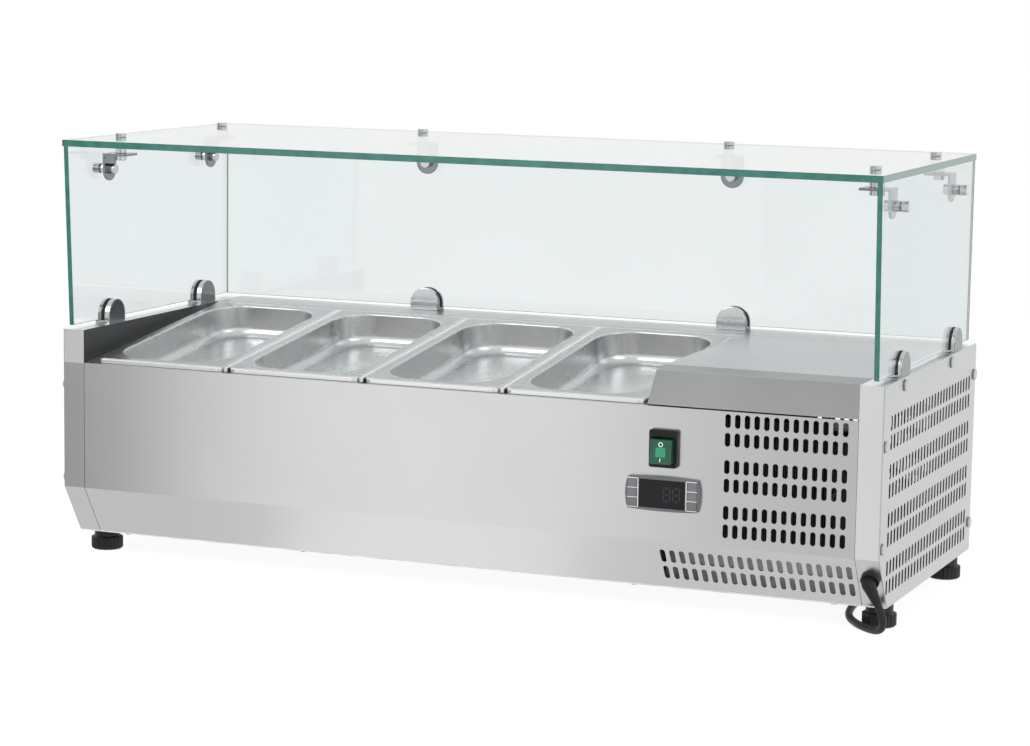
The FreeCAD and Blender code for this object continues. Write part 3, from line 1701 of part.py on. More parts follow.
for radius, points in tube_runs:
    shortest = min((points[i + 1] - points[i]).Length for i in range(len(points) - 1))
    bend_edges, _ = rounded_path(points, min(3 * value(radius), RUN_SHARE * shortest))
    runs.append(tube(bend_edges, value(radius))[0])
node(shaped("refrigerant_tubes", Part.makeCompound(runs)))

# Temperature probe: a capsule in a clip on the tub's right wall, below the pan's widest part
probe_above = "-tub_depth + 3 * probe_radius"
probe_bulb = doc.addObject("Part::Cylinder", "probe_bulb")
probe_bulb.setExpression("Radius", bind("probe_radius"))
probe_bulb.setExpression("Height", bind("probe_length"))
probe_x = "tub_right - 2 * probe_radius"
probe_along = "tub_front + pan_length / 2"
probe_bulb.Placement = FreeCAD.Placement(
    deck_spot(probe_x, probe_along, probe_above), Rotation(X_AXIS, value("tilt") - 90)
)
probe_clip = box(
    "probe_clip",
    (probe_x, probe_along + " + probe_length / 3", probe_above + " - probe_radius / 2"),
    ("2 * probe_radius", "probe_length / 3", "probe_radius"),
    place_on_deck,
)
node(joined("temperature_probe", [probe_bulb, probe_clip]))

# Cord gland on the right end's slope: thread inside, flange outside, and a tapered strain relief turned down
NOSE_HEADING = (0.50, -0.15, -0.85)
gland_start = spot("gland_x", "gland_in", "gland_z")
gland_out = Vector(0, -value("slope_rise / slope_length"), -value("slope_depth / slope_length"))
flange_face = gland_start + gland_out * value("gland_flange")
elbow = flange_face + gland_out * value("gland_elbow")
nose_out = Vector(*NOSE_HEADING)
nose_out.normalize()
gland = Part.makeCylinder(
    value("gland_thread"), value("gland_back"), gland_start - gland_out * value("gland_back"), gland_out
)
gland = gland.fuse(
    [
        Part.makeCylinder(value("gland_radius"), value("gland_flange"), gland_start, gland_out),
        Part.makeCylinder(value("gland_thread"), value("gland_elbow"), flange_face, gland_out),
        Part.makeSphere(value("gland_thread"), elbow),
        Part.makeCone(value("gland_thread"), value("gland_tip"), value("gland_nose"), elbow, nose_out),
    ]
).removeSplitter()
node(shaped("cord_gland", gland))

# Mains lead: down to the counter, back under the base and up to the coil behind it
cord_radius = value("cord_radius")
cord_exit = elbow + nose_out * value("gland_nose")
LEAD_POINTS = [
    (530.0, -202.0, 16.8),
    (524.5, -194.5, 8.0),
    (511.0, -182.5, 4.8),
    (486.5, -158.5, 4.8),
    (466.0, -122.0, 4.8),
    (456.0, -72.0, 4.8),
    (453.0, -14.0, 4.8),
    (450.0, 46.0, 4.8),
    (440.0, 108.0, 4.8),
    (426.0, 166.0, 4.9),
    (413.0, 216.0, 5.2),
    (403.5, 250.0, 5.5),
]
COIL_MIDDLE = (340.0, 302.0)
coil_start = Vector(COIL_MIDDLE[0] + value("coil_radius"), COIL_MIDDLE[1], value("coil_lie"))
lead_end = coil_start - Y_AXIS * (2 * cord_radius)
lead_points = [cord_exit, cord_exit + nose_out * value("exit_run")]
lead_points += [Vector(*point) for point in LEAD_POINTS]
lead_points += [lead_end - Y_AXIS * value("coil_run"), lead_end]
lead_edges, lead_radii = rounded_path(lead_points)
lead, lead_length = tube(lead_edges, cord_radius)
print("lead radii " + " ".join("%.0f" % radius for radius in lead_radii))
node(shaped("cord_lead", lead))


def coil_edges():
    """Return the coil's path: half turns that wind in, climb a layer while turning back, and wind out."""
    pitch = value("coil_pitch")
    radius = value("coil_radius")
    shrinking = [radius - i * pitch / 2 for i in range(COIL_HALF_TURNS)]
    turns = shrinking + [radius - COIL_HALF_TURNS * pitch / 2] + shrinking[::-1]
    here = coil_start
    edges = [Part.LineSegment(lead_end, coil_start).toShape()]
    side = -1
    for i, turn in enumerate(turns):
        rise = pitch if i == COIL_HALF_TURNS else 0.0
        there = here + Vector(side * 2 * turn, 0, rise)
        middle = (here + there) * 0.5
        span = (there - here).Length / 2
        swing = Y_AXIS if side < 0 else -Y_AXIS
        edges.append(Part.Arc(here, middle + swing * span, there).toShape())
        here = there
        side = -side
    last = here + (Y_AXIS if side < 0 else -Y_AXIS) * (2 * cord_radius)
    edges.append(Part.LineSegment(here, last).toShape())
    return edges, last


def least_gap(edges, diameter):
    """Return the least gap between stretches of a tube that lie further apart along it than 3 diameters."""
    points = []
    travelled = 0.0
    for edge in edges:
        count = max(2, int(edge.Length / SAMPLE_STEP))
        for i in range(count):
            step = edge.Length * i / count
            points.append((travelled + step, edge.valueAt(edge.getParameterByLength(step))))
        travelled += edge.Length
    best = min(
        (p - q).Length for i, (s, p) in enumerate(points) for t, q in points[i + 1:] if t - s > 3 * diameter
    )
    return best - diameter


turn_edges, coil_last = coil_edges()
coil, coil_length = tube(turn_edges, cord_radius)
print("coil least gap %.2f" % least_gap(turn_edges, 2 * cord_radius))
node(shaped("cord_coil", coil))

# Tie: a flat band round the bundle of turns, on the side nearest the body
pitch = value("coil_pitch")
tie_middle = Vector(COIL_MIDDLE[0], COIL_MIDDLE[1], 0)
tie_near = value("coil_radius") - pitch / 2 + cord_radius + value("tie_gap")
tie_far = value("coil_radius") - (COIL_HALF_TURNS - 1) * pitch / 2 - cord_radius - value("tie_slack")
tie_low = value("coil_lie") - cord_radius - value("tie_gap")
tie_high = value("coil_lie") + pitch + cord_radius + value("tie_gap")
thick = value("tie_thick")
width = value("tie_width")
band_outer = Part.makeBox(
    width,
    tie_near - tie_far + 2 * thick,
    tie_high - tie_low + 2 * thick,
    Vector(tie_middle.x - width / 2, tie_middle.y - tie_near - thick, tie_low - thick),
)
band_inner = Part.makeBox(
    2 * width,
    tie_near - tie_far,
    tie_high - tie_low,
    Vector(tie_middle.x - width, tie_middle.y - tie_near, tie_low),
)
node(shaped("cord_tie", band_outer.cut(band_inner)))

# Plug at the end of a short tail
plug_axis = Vector(-1, 0, 0)
tail_points = [
    coil_last,
    coil_last + Vector(0.0, -15.0, 0.0),
    coil_last + Vector(-5.5, -31.0, 0.4),
    coil_last + Vector(-17.0, -44.0, 0.9),
    coil_last + Vector(-33.0, -52.0, 1.3),
    coil_last + Vector(-50.0, -54.5, 1.7),
    coil_last + Vector(-66.0, -54.5, 1.7),
]
plug_back = tail_points[-1]
tail_edges, tail_radii = rounded_path(tail_points)
tail, tail_length = tube(tail_edges, cord_radius)
print("tail radii " + " ".join("%.0f" % radius for radius in tail_radii))
node(shaped("cord_tail", tail))
nose = Part.makeCone(
    value("cord_radius + plug_neck"), value("plug_shoulder"), value("plug_nose"), plug_back, plug_axis
)
grip_start = plug_back + plug_axis * value("plug_nose")
grip = Part.makeCylinder(value("plug_radius"), value("plug_length"), grip_start, plug_axis)
face_at = grip_start + plug_axis * value("plug_length")
pin_step = Y_AXIS * value("plug_pin_pitch / 2")
pins = [
    Part.makeCylinder(value("plug_pin"), value("plug_pin_length"), face_at + pin_step * sign, plug_axis)
    for sign in (-1, 1)
]
node(shaped("plug", nose.fuse([grip] + pins).removeSplitter()))
print("cord length %.0f" % (lead_length + coil_length + tail_length))

doc.recompute()
for obj in doc.Objects:
    if "Invalid" in obj.State or "Error" in obj.State:
        raise RuntimeError("%s failed: %s" % (obj.Name, obj.State))
for obj in nodes:
    if obj.Shape.isNull() or not obj.Shape.isValid() or not obj.Shape.Solids:
        raise RuntimeError("%s has no valid solid" % obj.Label)

os.makedirs("parts", exist_ok=True)
for obj in nodes:
    obj.Shape.exportStep("parts/%s.step" % obj.Label)
print("%d sub-parts, body %.1f x %.1f" % (len(nodes), value("body_width"), value("body_depth")))
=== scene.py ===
"""Looks of a countertop topping fridge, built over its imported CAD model.

The frame is the CAD's own: X to the right, Y to the back, Z up, metres, with the origin on the counter.
"""
from __future__ import annotations

import logging
import math
from dataclasses import dataclass
from enum import Enum
from functools import cache
from typing import Callable, Iterable, Sequence

import bmesh
import bpy
from mathutils import Matrix, Vector

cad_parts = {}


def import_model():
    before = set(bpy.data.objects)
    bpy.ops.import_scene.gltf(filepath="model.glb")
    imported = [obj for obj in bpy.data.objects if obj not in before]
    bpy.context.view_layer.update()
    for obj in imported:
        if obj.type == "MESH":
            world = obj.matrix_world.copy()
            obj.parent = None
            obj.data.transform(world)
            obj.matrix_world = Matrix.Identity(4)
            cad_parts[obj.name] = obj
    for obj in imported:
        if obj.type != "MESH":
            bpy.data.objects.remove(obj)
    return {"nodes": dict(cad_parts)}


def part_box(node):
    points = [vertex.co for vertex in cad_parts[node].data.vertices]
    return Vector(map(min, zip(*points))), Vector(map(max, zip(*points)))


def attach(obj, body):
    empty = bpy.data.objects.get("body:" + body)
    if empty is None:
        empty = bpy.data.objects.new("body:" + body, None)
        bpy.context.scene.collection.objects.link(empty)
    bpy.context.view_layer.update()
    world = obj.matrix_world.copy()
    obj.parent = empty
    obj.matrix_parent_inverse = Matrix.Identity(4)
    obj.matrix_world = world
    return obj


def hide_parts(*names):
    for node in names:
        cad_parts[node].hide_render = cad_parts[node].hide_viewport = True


LOG = logging.getLogger("topping_fridge")
MM = 0.001
WELD = 0.001 * MM
FLAT = math.radians(0.4)
SHARP = math.radians(32.0)
FACING = 0.9
LEANING = 0.3
NOISE_LOW = 0.3
NOISE_HIGH = 0.7
SCREEN_STEPS = 255
SCREEN_TOE = 0.04045
SCREEN_TOE_SLOPE = 12.92
SCREEN_LIFT = 0.055
SCREEN_POWER = 2.4
BODY = "body"

Colour = tuple[float, float, float]
Point = tuple[float, float, float]
Solid = bmesh.types.BMesh
Face = bmesh.types.BMFace
Edge = bmesh.types.BMEdge
Piece = bpy.types.Object
Material = bpy.types.Material
Tree = bpy.types.NodeTree
Socket = bpy.types.NodeSocket


def srgb(red: int, green: int, blue: int) -> Colour:
    """Turn a colour as it looks on a screen into the shader's own scale.

    Args:
        red: Red, 0 to 255.
        green: Green, 0 to 255.
        blue: Blue, 0 to 255.

    Returns:
        The colour in linear light.
    """

    def straighten(level: int) -> float:
        """Undo the screen's curve for one channel."""
        share = level / SCREEN_STEPS
        if share <= SCREEN_TOE:
            return share / SCREEN_TOE_SLOPE
        return ((share + SCREEN_LIFT) / (1 + SCREEN_LIFT)) ** SCREEN_POWER

    return straighten(red), straighten(green), straighten(blue)


class Grain(Enum):
    """The way that a sheet's brush lines run, as the stretch of its noise."""

    ALONG_X = (0.02, 1.0, 1.0)
    ALONG_Y = (1.0, 0.02, 1.0)
    ALONG_Z = (1.0, 1.0, 0.02)
    NONE = (1.0, 1.0, 1.0)


class Slot(Enum):
    """The record's material slots."""

    CASING = "casing_steel"
    PAN = "pan_steel"
    SCREW = "screw_steel"
    GLASS = "glass"
    CHROME = "chrome"
    RUBBER = "black_rubber"
    BLACK = "black_plastic"
    GREEN = "green_plastic"
    GREY = "grey_plastic"
    DISPLAY = "display"
    FOAM = "foam"
    COPPER = "copper"
    PAINT = "black_paint"
    FINS = "fins"
    PROBE = "probe_metal"


def emptied(owner: Material | bpy.types.World, kind: str) -> tuple[Tree, bpy.types.Node]:
    """Clear a node tree but for a new output.

    Args:
        owner: The material or world.
        kind: The output's kind.

    Returns:
        The tree and the output.
    """
    owner.use_nodes = True
    tree = owner.node_tree
    tree.nodes.clear()
    return tree, tree.nodes.new(kind)


class Shader:
    """The node tree of one material, with short calls for the nodes that the finishes share."""

    def __init__(self, name: str) -> None:
        """Start a material that holds a principled shader.

        Args:
            name: The material's name.
        """
        self.material = bpy.data.materials.new(name)
        self.tree, output = emptied(self.material, "ShaderNodeOutputMaterial")
        self.surface = self.node("ShaderNodeBsdfPrincipled")
        self.link(self.surface.outputs["BSDF"], output.inputs["Surface"])
        self.place = self.node("ShaderNodeTexCoord").outputs["Object"]

    def node(self, kind: str, **values: float | Point) -> bpy.types.Node:
        """Add a node to the tree.

        Args:
            kind: The node's kind.
            **values: Names of its inputs, with underscores for spaces, and their values.

        Returns:
            The node.
        """
        node = self.tree.nodes.new(kind)
        for key, value in values.items():
            node.inputs[key.replace("_", " ").title()].default_value = value
        return node

    def link(self, source: Socket, target: Socket) -> None:
        """Join an output to an input."""
        self.tree.links.new(source, target)

    def set(self, **values: float | tuple[float, ...]) -> None:
        """Set constants on the principled shader's own sockets.

        Args:
            **values: Socket names, with underscores for spaces, and their values.
        """
        for key, value in values.items():
            socket = self.surface.inputs[key.replace("_", " ").title().replace("Ior", "IOR")]
            socket.default_value = (*value, 1.0) if isinstance(value, tuple) else value

    def noise(self, scale: float, stretch: Point = Grain.NONE.value, detail: float = 3.0) -> Socket:
        """Add a noise on the piece's own coordinates.

        Args:
            scale: How many features there are to a metre.
            stretch: The share of that scale along each axis.
            detail: How many finer layers are added.

        Returns:
            The noise's level.
        """
        mapping = self.node("ShaderNodeMapping", scale=stretch)
        self.link(self.place, mapping.inputs["Vector"])
        noise = self.node("ShaderNodeTexNoise", scale=scale, detail=detail)
        self.link(mapping.outputs["Vector"], noise.inputs["Vector"])
        return noise.outputs["Fac"]

    def spread(self, level: Socket, low: float, high: float) -> Socket:
        """Map the middle of a noise's range to two values.

        Args:
            level: The noise.
            low: The value where it is low.
            high: The value where it is high.

        Returns:
            The mapped level.
        """
        ranged = self.node(
            "ShaderNodeMapRange", from_min=NOISE_LOW, from_max=NOISE_HIGH, to_min=low, to_max=high
        )
        self.link(level, ranged.inputs["Value"])
        return ranged.outputs["Result"]

    def tint(self, level: Socket, first: Colour, second: Colour) -> None:
        """Vary the base colour between two colours by a level.

        Args:
            level: The share of the second colour.
            first: The colour at 0.
            second: The colour at 1.
        """
        mix = self.node("ShaderNodeMix")
        mix.data_type = "RGBA"
        colours = [socket for socket in mix.inputs if socket.type == "RGBA"]
        colours[0].default_value = (*first, 1.0)
        colours[1].default_value = (*second, 1.0)
        self.link(level, mix.inputs["Factor"])
        result = next(socket for socket in mix.outputs if socket.type == "RGBA")
        self.link(result, self.surface.inputs["Base Color"])

    def shift(self, level: Socket, tone: Colour, dark: float, light: float) -> None:
        """Make the base colour darker and lighter by a noise.

        Args:
            level: The noise.
            tone: The colour.
            dark: Its share where the noise is low.
            light: Its share where the noise is high.
        """
        self.tint(self.spread(level, 0.0, 1.0), shade(tone, dark), shade(tone, light))

    def paint_shade_below(self, height: float, share: float) -> None:
        """Darken the base colour below a height, a painted shade.

        Args:
            height: Where the darker part ends.
            share: How much of the colour is left there.
        """
        split = self.node("ShaderNodeSeparateXYZ")
        self.link(self.place, split.inputs["Vector"])
        step = self.node("ShaderNodeMapRange", from_min=height - MM, from_max=height, to_min=share)
        self.link(split.outputs["Z"], step.inputs["Value"])
        scale = self.node("ShaderNodeVectorMath")
        scale.operation = "SCALE"
        base = self.surface.inputs["Base Color"]
        self.link(base.links[0].from_socket, scale.inputs["Vector"])
        self.link(step.outputs["Result"], scale.inputs["Scale"])
        self.link(scale.outputs["Vector"], base)

    def rough(self, level: Socket, low: float, high: float) -> None:
        """Vary the roughness between two values by a noise."""
        self.link(self.spread(level, low, high), self.surface.inputs["Roughness"])

    def bump(self, level: Socket, strength: float, depth: float) -> None:
        """Raise the surface by a level.

        Args:
            level: The height's share.
            strength: How much of it shows.
            depth: The height at 1, in metres.
        """
        bump = self.node("ShaderNodeBump", strength=strength, distance=depth)
        self.link(level, bump.inputs["Height"])
        self.link(bump.outputs["Normal"], self.surface.inputs["Normal"])


def shade(colour: Colour, share: float) -> Colour:
    """Return a colour made lighter or darker by a share."""
    return colour[0] * share, colour[1] * share, colour[2] * share


@dataclass(frozen=True)
class BrushedSteel:
    """Stainless sheet with fine lines in one direction.

    Below a height a sheet can be painted darker, a painted shade.
    """

    name: str
    grain: Grain
    tone: Colour
    low: float = 0.27
    high: float = 0.33
    shade_height: float = 0.0
    shade_share: float = 1.0
    slot: Slot = Slot.CASING
    line_scale: float = 1300.0
    cloud_scale: float = 6.0
    dark: float = 0.99
    light: float = 1.008
    relief: float = 0.006
    depth: float = 0.1 * MM

    def build(self) -> Material:
        """Make the material."""
        shader = Shader(self.name)
        lines = shader.noise(self.line_scale, self.grain.value)
        shader.set(metallic=1.0)
        shader.shift(lines, self.tone, self.dark, self.light)
        # Below the shade height the colour is painted darker: painted shade.
        if self.shade_height > 0.0:
            shader.paint_shade_below(self.shade_height, self.shade_share)
        shader.rough(shader.noise(self.cloud_scale), self.low, self.high)
        shader.bump(lines, self.relief, self.depth)
        return shader.material


@dataclass(frozen=True)
class Clouded:
    """A finish whose colour and roughness drift in soft clouds, with a fine grain if it has any."""

    name: str
    tone: Colour
    slot: Slot
    low: float = 0.35
    high: float = 0.5
    grain: float = 0.0
    coat: float = 0.0
    shine: float = 0.5
    scale: float = 40.0
    detail: float = 3.0
    dark: float = 0.88
    light: float = 1.1
    grain_scale: float = 2200.0
    depth: float = 0.2 * MM
    metallic: float = 0.0
    clear: float = 0.0
    bend: float = 1.5
    coat_rough: float = 0.08
    glow: float = 0.0

    def build(self) -> Material:
        """Make the material."""
        shader = Shader(self.name)
        clouds = shader.noise(self.scale, detail=self.detail)
        shader.set(
            metallic=self.metallic,
            ior=self.bend,
            transmission_weight=self.clear,
            specular_ior_level=self.shine,
            coat_weight=self.coat,
            coat_roughness=self.coat_rough,
            emission_color=self.tone,
            emission_strength=self.glow,
        )
        shader.shift(clouds, self.tone, self.dark, self.light)
        shader.rough(clouds, self.low, self.high)
        if self.grain > 0.0:
            shader.bump(shader.noise(self.grain_scale, detail=self.detail), self.grain, self.depth)
        return shader.material


@dataclass(frozen=True)
class DrawnSteel(Clouded):
    """Pressed stainless with a soft shine."""

    slot: Slot = Slot.PAN
    low: float = 0.24
    high: float = 0.30
    scale: float = 14.0
    dark: float = 0.96
    light: float = 1.03
    metallic: float = 1.0


@dataclass(frozen=True)
class Chrome(Clouded):
    """Polished plated metal with faint wear."""

    slot: Slot = Slot.CHROME
    low: float = 0.06
    high: float = 0.13
    scale: float = 220.0
    dark: float = 0.96
    light: float = 1.0
    metallic: float = 1.0


@dataclass(frozen=True)
class ClearGlass(Clouded):
    """Float glass, a little green, clean."""

    slot: Slot = Slot.GLASS
    low: float = 0.0
    high: float = 0.01
    scale: float = 6.0
    dark: float = 1.0
    light: float = 1.02
    clear: float = 1.0
    bend: float = 1.45


@dataclass(frozen=True)
class GlassEdge(Clouded):
    """A ground pane edge, where the glass shows its deep green."""

    slot: Slot = Slot.GLASS
    low: float = 0.12
    high: float = 0.25
    coat: float = 0.6
    scale: float = 60.0
    dark: float = 0.8
    light: float = 1.2
    bend: float = 1.45
    coat_rough: float = 0.05


@dataclass(frozen=True)
class Moulded(Clouded):
    """Plastic or rubber with a fine moulded grain."""

    grain: float = 0.06


@dataclass(frozen=True)
class LitPlastic(Clouded):
    """Clear coloured plastic with a lamp behind it."""

    low: float = 0.25
    high: float = 0.4
    coat: float = 0.5
    scale: float = 120.0
    dark: float = 0.85
    light: float = 1.15
    coat_rough: float = 0.1


@dataclass(frozen=True)
class PlainMetal(Clouded):
    """Bare or painted metal with clouds and light wear."""

    grain: float = 0.05
    scale: float = 35.0
    detail: float = 5.0
    dark: float = 0.85
    light: float = 1.12
    grain_scale: float = 35.0
    depth: float = 0.3 * MM


@dataclass(frozen=True)
class FinPack:
    """Thin upright fins, side by side, with painted shade in the gaps between them."""

    name: str
    tone: Colour
    pitch: float
    slot: Slot = Slot.FINS
    wave_factor: float = 20.0
    dark: float = 0.12
    roughness: float = 0.4
    relief: float = 0.6

    def build(self) -> Material:
        """Make the material."""
        shader = Shader(self.name)
        wave = shader.node("ShaderNodeTexWave", scale=math.tau / (self.wave_factor * self.pitch))
        wave.bands_direction = "X"
        shader.link(shader.place, wave.inputs["Vector"])
        shader.set(metallic=1.0, roughness=self.roughness)
        shader.tint(wave.outputs["Fac"], shade(self.tone, self.dark), self.tone)
        shader.bump(wave.outputs["Fac"], self.relief, self.relief * self.pitch)
        return shader.material


Finish = BrushedSteel | Clouded | FinPack

FACE_STEEL = BrushedSteel("face_steel", Grain.ALONG_X, tone=(0.74, 0.74, 0.74), low=0.20, high=0.24)
SIDE_STEEL = BrushedSteel("side_steel", Grain.ALONG_Y, tone=(0.55, 0.555, 0.56))
# The caps' strips are painted far brighter than the front panel in the same plane, a painted highlight; the
# left cap is also painted darker below 247 mm, a painted shade.
LEFT_CAP_LIT_AND_SHADED_STEEL = BrushedSteel(
    "left_cap_lit_and_shaded_steel", Grain.ALONG_Z, tone=(0.95, 0.955, 0.96), shade_height=0.247, shade_share=0.64
)
RIGHT_CAP_LIT_STEEL = BrushedSteel("right_cap_lit_steel", Grain.ALONG_Z, tone=(0.96, 0.965, 0.97))
HOOD_STEEL = BrushedSteel("hood_steel", Grain.ALONG_X, tone=(0.74, 0.745, 0.75))
# The hood's top and the break behind its front edge are darker copies of the hood's steel: painted shade.
HOOD_TOP_SHADE_STEEL = BrushedSteel("hood_top_shade_steel", Grain.ALONG_X, tone=(0.58, 0.585, 0.59))
HOOD_BREAK_SHADE_STEEL = BrushedSteel("hood_break_shade_steel", Grain.ALONG_X, tone=(0.36, 0.365, 0.37))
# Near-black steel for inside faces, the front panel's ends beside the caps and the bulkhead: painted shade on
# sheets that are really bright steel.
INNER_SHADE_STEEL = BrushedSteel("inner_shade_steel", Grain.ALONG_X, tone=(0.13, 0.13, 0.135), low=0.4, high=0.5)
LINER_STEEL = BrushedSteel("liner_steel", Grain.ALONG_X, tone=(0.62, 0.63, 0.63))
# The divider bars are painted brighter than the liner to light their shaded fronts: a painted highlight.
BAR_LIT_STEEL = BrushedSteel("bar_lit_steel", Grain.ALONG_Y, tone=(0.85, 0.855, 0.86))
# The rear panel's up-facing ledge is a darker copy of its steel: painted shade.
LEDGE_SHADE_STEEL = BrushedSteel("ledge_shade_steel", Grain.ALONG_X, tone=(0.56, 0.565, 0.57))
PAN_STEEL = DrawnSteel("pan_steel", tone=(0.68, 0.68, 0.685))
# The pans' lip fronts are a bright copy of the pan steel, a painted highlight, and their rims' flat tops a
# dark copy, painted shade.
LIP_LIT_STEEL = DrawnSteel("lip_lit_steel", tone=(0.93, 0.93, 0.935))
RIM_SHADE_STEEL = DrawnSteel("rim_shade_steel", tone=(0.48, 0.48, 0.485))
SCREW_STEEL = DrawnSteel("screw_steel", tone=(0.50, 0.51, 0.52), slot=Slot.SCREW)
CHROME = Chrome("chrome", tone=(0.64, 0.65, 0.66))
SHADED_CHROME = Chrome("shaded_chrome", tone=(0.20, 0.21, 0.215))
# The bracket bars' chrome is darkened to stand in for dark reflections: a painted reflection.
BAR_DARK_REFLECTION_CHROME = Chrome("bar_dark_reflection_chrome", tone=(0.30, 0.31, 0.32), low=0.15, high=0.25)
GLASS = ClearGlass("clear_glass", (0.80, 0.84, 0.84))
GLASS_EDGE = GlassEdge("glass_edge", srgb(54, 114, 103))
GLASS_ARRIS = GlassEdge("glass_arris", srgb(38, 86, 80))
GASKET = Moulded("gasket_rubber", (0.03, 0.03, 0.032), Slot.RUBBER, 0.55, 0.7)
CORD_RUBBER = Moulded("cord_rubber", (0.010, 0.010, 0.011), Slot.RUBBER, 0.42, 0.55, 0.04, shine=0.4)
BLACK_PLASTIC = Moulded("black_plastic", (0.008, 0.008, 0.009), Slot.BLACK, 0.35, 0.5, shine=0.35)
FOOT_PLASTIC = Moulded("foot_plastic", (0.012, 0.012, 0.013), Slot.BLACK, 0.4, 0.55, shine=0.4)
GREY_PLASTIC = Moulded("grey_plastic", srgb(104, 105, 108), Slot.GREY, 0.4, 0.5)
KEY_PLASTIC = Moulded("key_plastic", srgb(114, 115, 118), Slot.GREY, 0.4, 0.5)
WHITE_INK = Moulded("white_ink", srgb(232, 233, 235), Slot.GREY, 0.4, 0.5, 0.0)
WINDOW = Moulded("smoked_window", srgb(24, 22, 25), Slot.DISPLAY, 0.15, 0.25, 0.0, 0.0, 0.3)
GHOST = Moulded("unlit_segment", srgb(58, 54, 58), Slot.DISPLAY, 0.2, 0.3, 0.0, 0.0, 0.3)
GREEN = LitPlastic("green_rocker", srgb(20, 78, 56), Slot.GREEN, glow=0.03)
GREEN_LAMP = LitPlastic("green_lamp", srgb(44, 136, 98), Slot.GREEN, glow=0.12)
ROCKER_INK = Moulded("rocker_ink", srgb(225, 240, 232), Slot.GREEN, 0.4, 0.5, 0.0)
FOAM = Moulded("foam", srgb(226, 214, 178), Slot.FOAM, 0.8, 0.9, 0.3)
TRAY_ZINC = PlainMetal("tray_zinc", (0.80, 0.81, 0.81), Slot.CASING, 0.5, 0.6, metallic=0.2)
COPPER = PlainMetal("copper", (0.72, 0.38, 0.24), Slot.COPPER, 0.25, 0.4, metallic=1.0)
PAINT = PlainMetal("black_paint", (0.025, 0.025, 0.027), Slot.PAINT, 0.3, 0.45)
# The condenser's fins are painted near black: painted shade behind the vents.
FINS = FinPack("fins", (0.12, 0.122, 0.125), 2.2 * MM)
PROBE = PlainMetal("probe_metal", (0.7, 0.7, 0.71), Slot.PROBE, 0.25, 0.35, metallic=1.0)
PIN_METAL = PlainMetal("pin_metal", (0.74, 0.7, 0.6), Slot.BLACK, 0.2, 0.3, metallic=1.0)


@cache
def material(finish: Finish) -> Material:
    """Return a finish's material, made once."""
    return finish.build()


def turned(profile: Sequence[tuple[float, float]], steps: int = 48) -> Solid:
    """Turn a profile round the Z axis.

    Args:
        profile: Radius and height of each corner, from one end on the axis to the other.
        steps: How many faces go round.

    Returns:
        The closed solid.
    """
    shape = bmesh.new()
    verts = [shape.verts.new((radius, 0.0, height)) for radius, height in profile]
    edges = [shape.edges.new(pair) for pair in zip(verts, verts[1:])]
    bmesh.ops.spin(
        shape,
        geom=verts + edges,
        cent=(0.0, 0.0, 0.0),
        axis=(0.0, 0.0, 1.0),
        angle=math.tau,
        steps=steps,
        use_merge=True,
    )
    bmesh.ops.remove_doubles(shape, verts=shape.verts, dist=WELD)
    bmesh.ops.recalc_face_normals(shape, faces=shape.faces)
    return shape


def block(low: Vector, high: Vector) -> Solid:
    """Make a box.

    Args:
        low: Its lowest corner.
        high: Its highest corner.

    Returns:
        The closed solid.
    """
    shape = bmesh.new()
    stretch = Matrix.Diagonal((*(high - low), 1.0))
    bmesh.ops.create_cube(shape, size=1.0, matrix=Matrix.Translation((low + high) / 2) @ stretch)
    return shape


def rounded(shape: Solid, wanted: Callable[[Edge], bool], width: float, segments: int = 4) -> None:
    """Round the edges of a solid that a test picks.

    Args:
        shape: The solid.
        wanted: Tells whether an edge is rounded.
        width: How wide the round is.
        segments: How many faces it has.
    """
    bmesh.ops.bevel(
        shape,
        geom=[edge for edge in shape.edges if len(edge.link_faces) == 2 and wanted(edge)],
        offset=width,
        offset_type="OFFSET",
        affect="EDGES",
        segments=segments,
        profile=0.5,
        material=-1,
        clamp_overlap=True,
    )


def middle(edge: Edge) -> Vector:
    """Return the point halfway along an edge."""
    return (edge.verts[0].co + edge.verts[1].co) / 2


def aim(axis: Vector) -> Matrix:
    """Return the turn that takes Z to an axis."""
    return Vector((0.0, 0.0, 1.0)).rotation_difference(axis).to_matrix().to_4x4()


def linked(name: str, data: bpy.types.ID) -> Piece:
    """Put a new object in the scene.

    Args:
        name: Its name.
        data: Its mesh, curve, camera or lamp.

    Returns:
        The object.
    """
    item = bpy.data.objects.new(name, data)
    bpy.context.scene.collection.objects.link(item)
    return item


def meshed(name: str, shape: Solid) -> bpy.types.Mesh:
    """Turn a solid into a mesh with a name, and free it."""
    mesh = bpy.data.meshes.new(name)
    shape.to_mesh(mesh)
    shape.free()
    return mesh


def gathered(shapes: Iterable[Solid]) -> Solid:
    """Put several solids in one mesh and free them.

    Args:
        shapes: The solids.

    Returns:
        One mesh that holds them all.
    """
    whole = bmesh.new()
    for shape in shapes:
        loose = meshed("loose", shape)
        whole.from_mesh(loose)
        bpy.data.meshes.remove(loose)
    return whole


def moved(shape: Solid, matrix: Matrix) -> Solid:
    """Move every corner of a solid by a matrix and return it."""
    bmesh.ops.transform(shape, matrix=matrix, verts=shape.verts)
    return shape


def make_piece(
    name: str,
    shape: Solid,
    finishes: Sequence[Finish],
    body: str = BODY,
    replaces: Sequence[str] = (),
) -> Piece:
    """Turn a mesh into a dressed piece of the part.

    Args:
        name: The piece's name.
        shape: Its mesh, which is freed.
        finishes: Its finishes, by material index.
        body: The body that it rides on.
        replaces: The CAD nodes that it stands for.

    Returns:
        The piece.
    """
    mesh = meshed(name, shape)
    mesh.shade_smooth()
    mesh.set_sharp_from_angle(angle=SHARP)
    piece = linked(name, mesh)
    for finish in finishes:
        mesh.materials.append(material(finish))
    settle(piece, finishes[0].slot, body, replaces)
    return piece


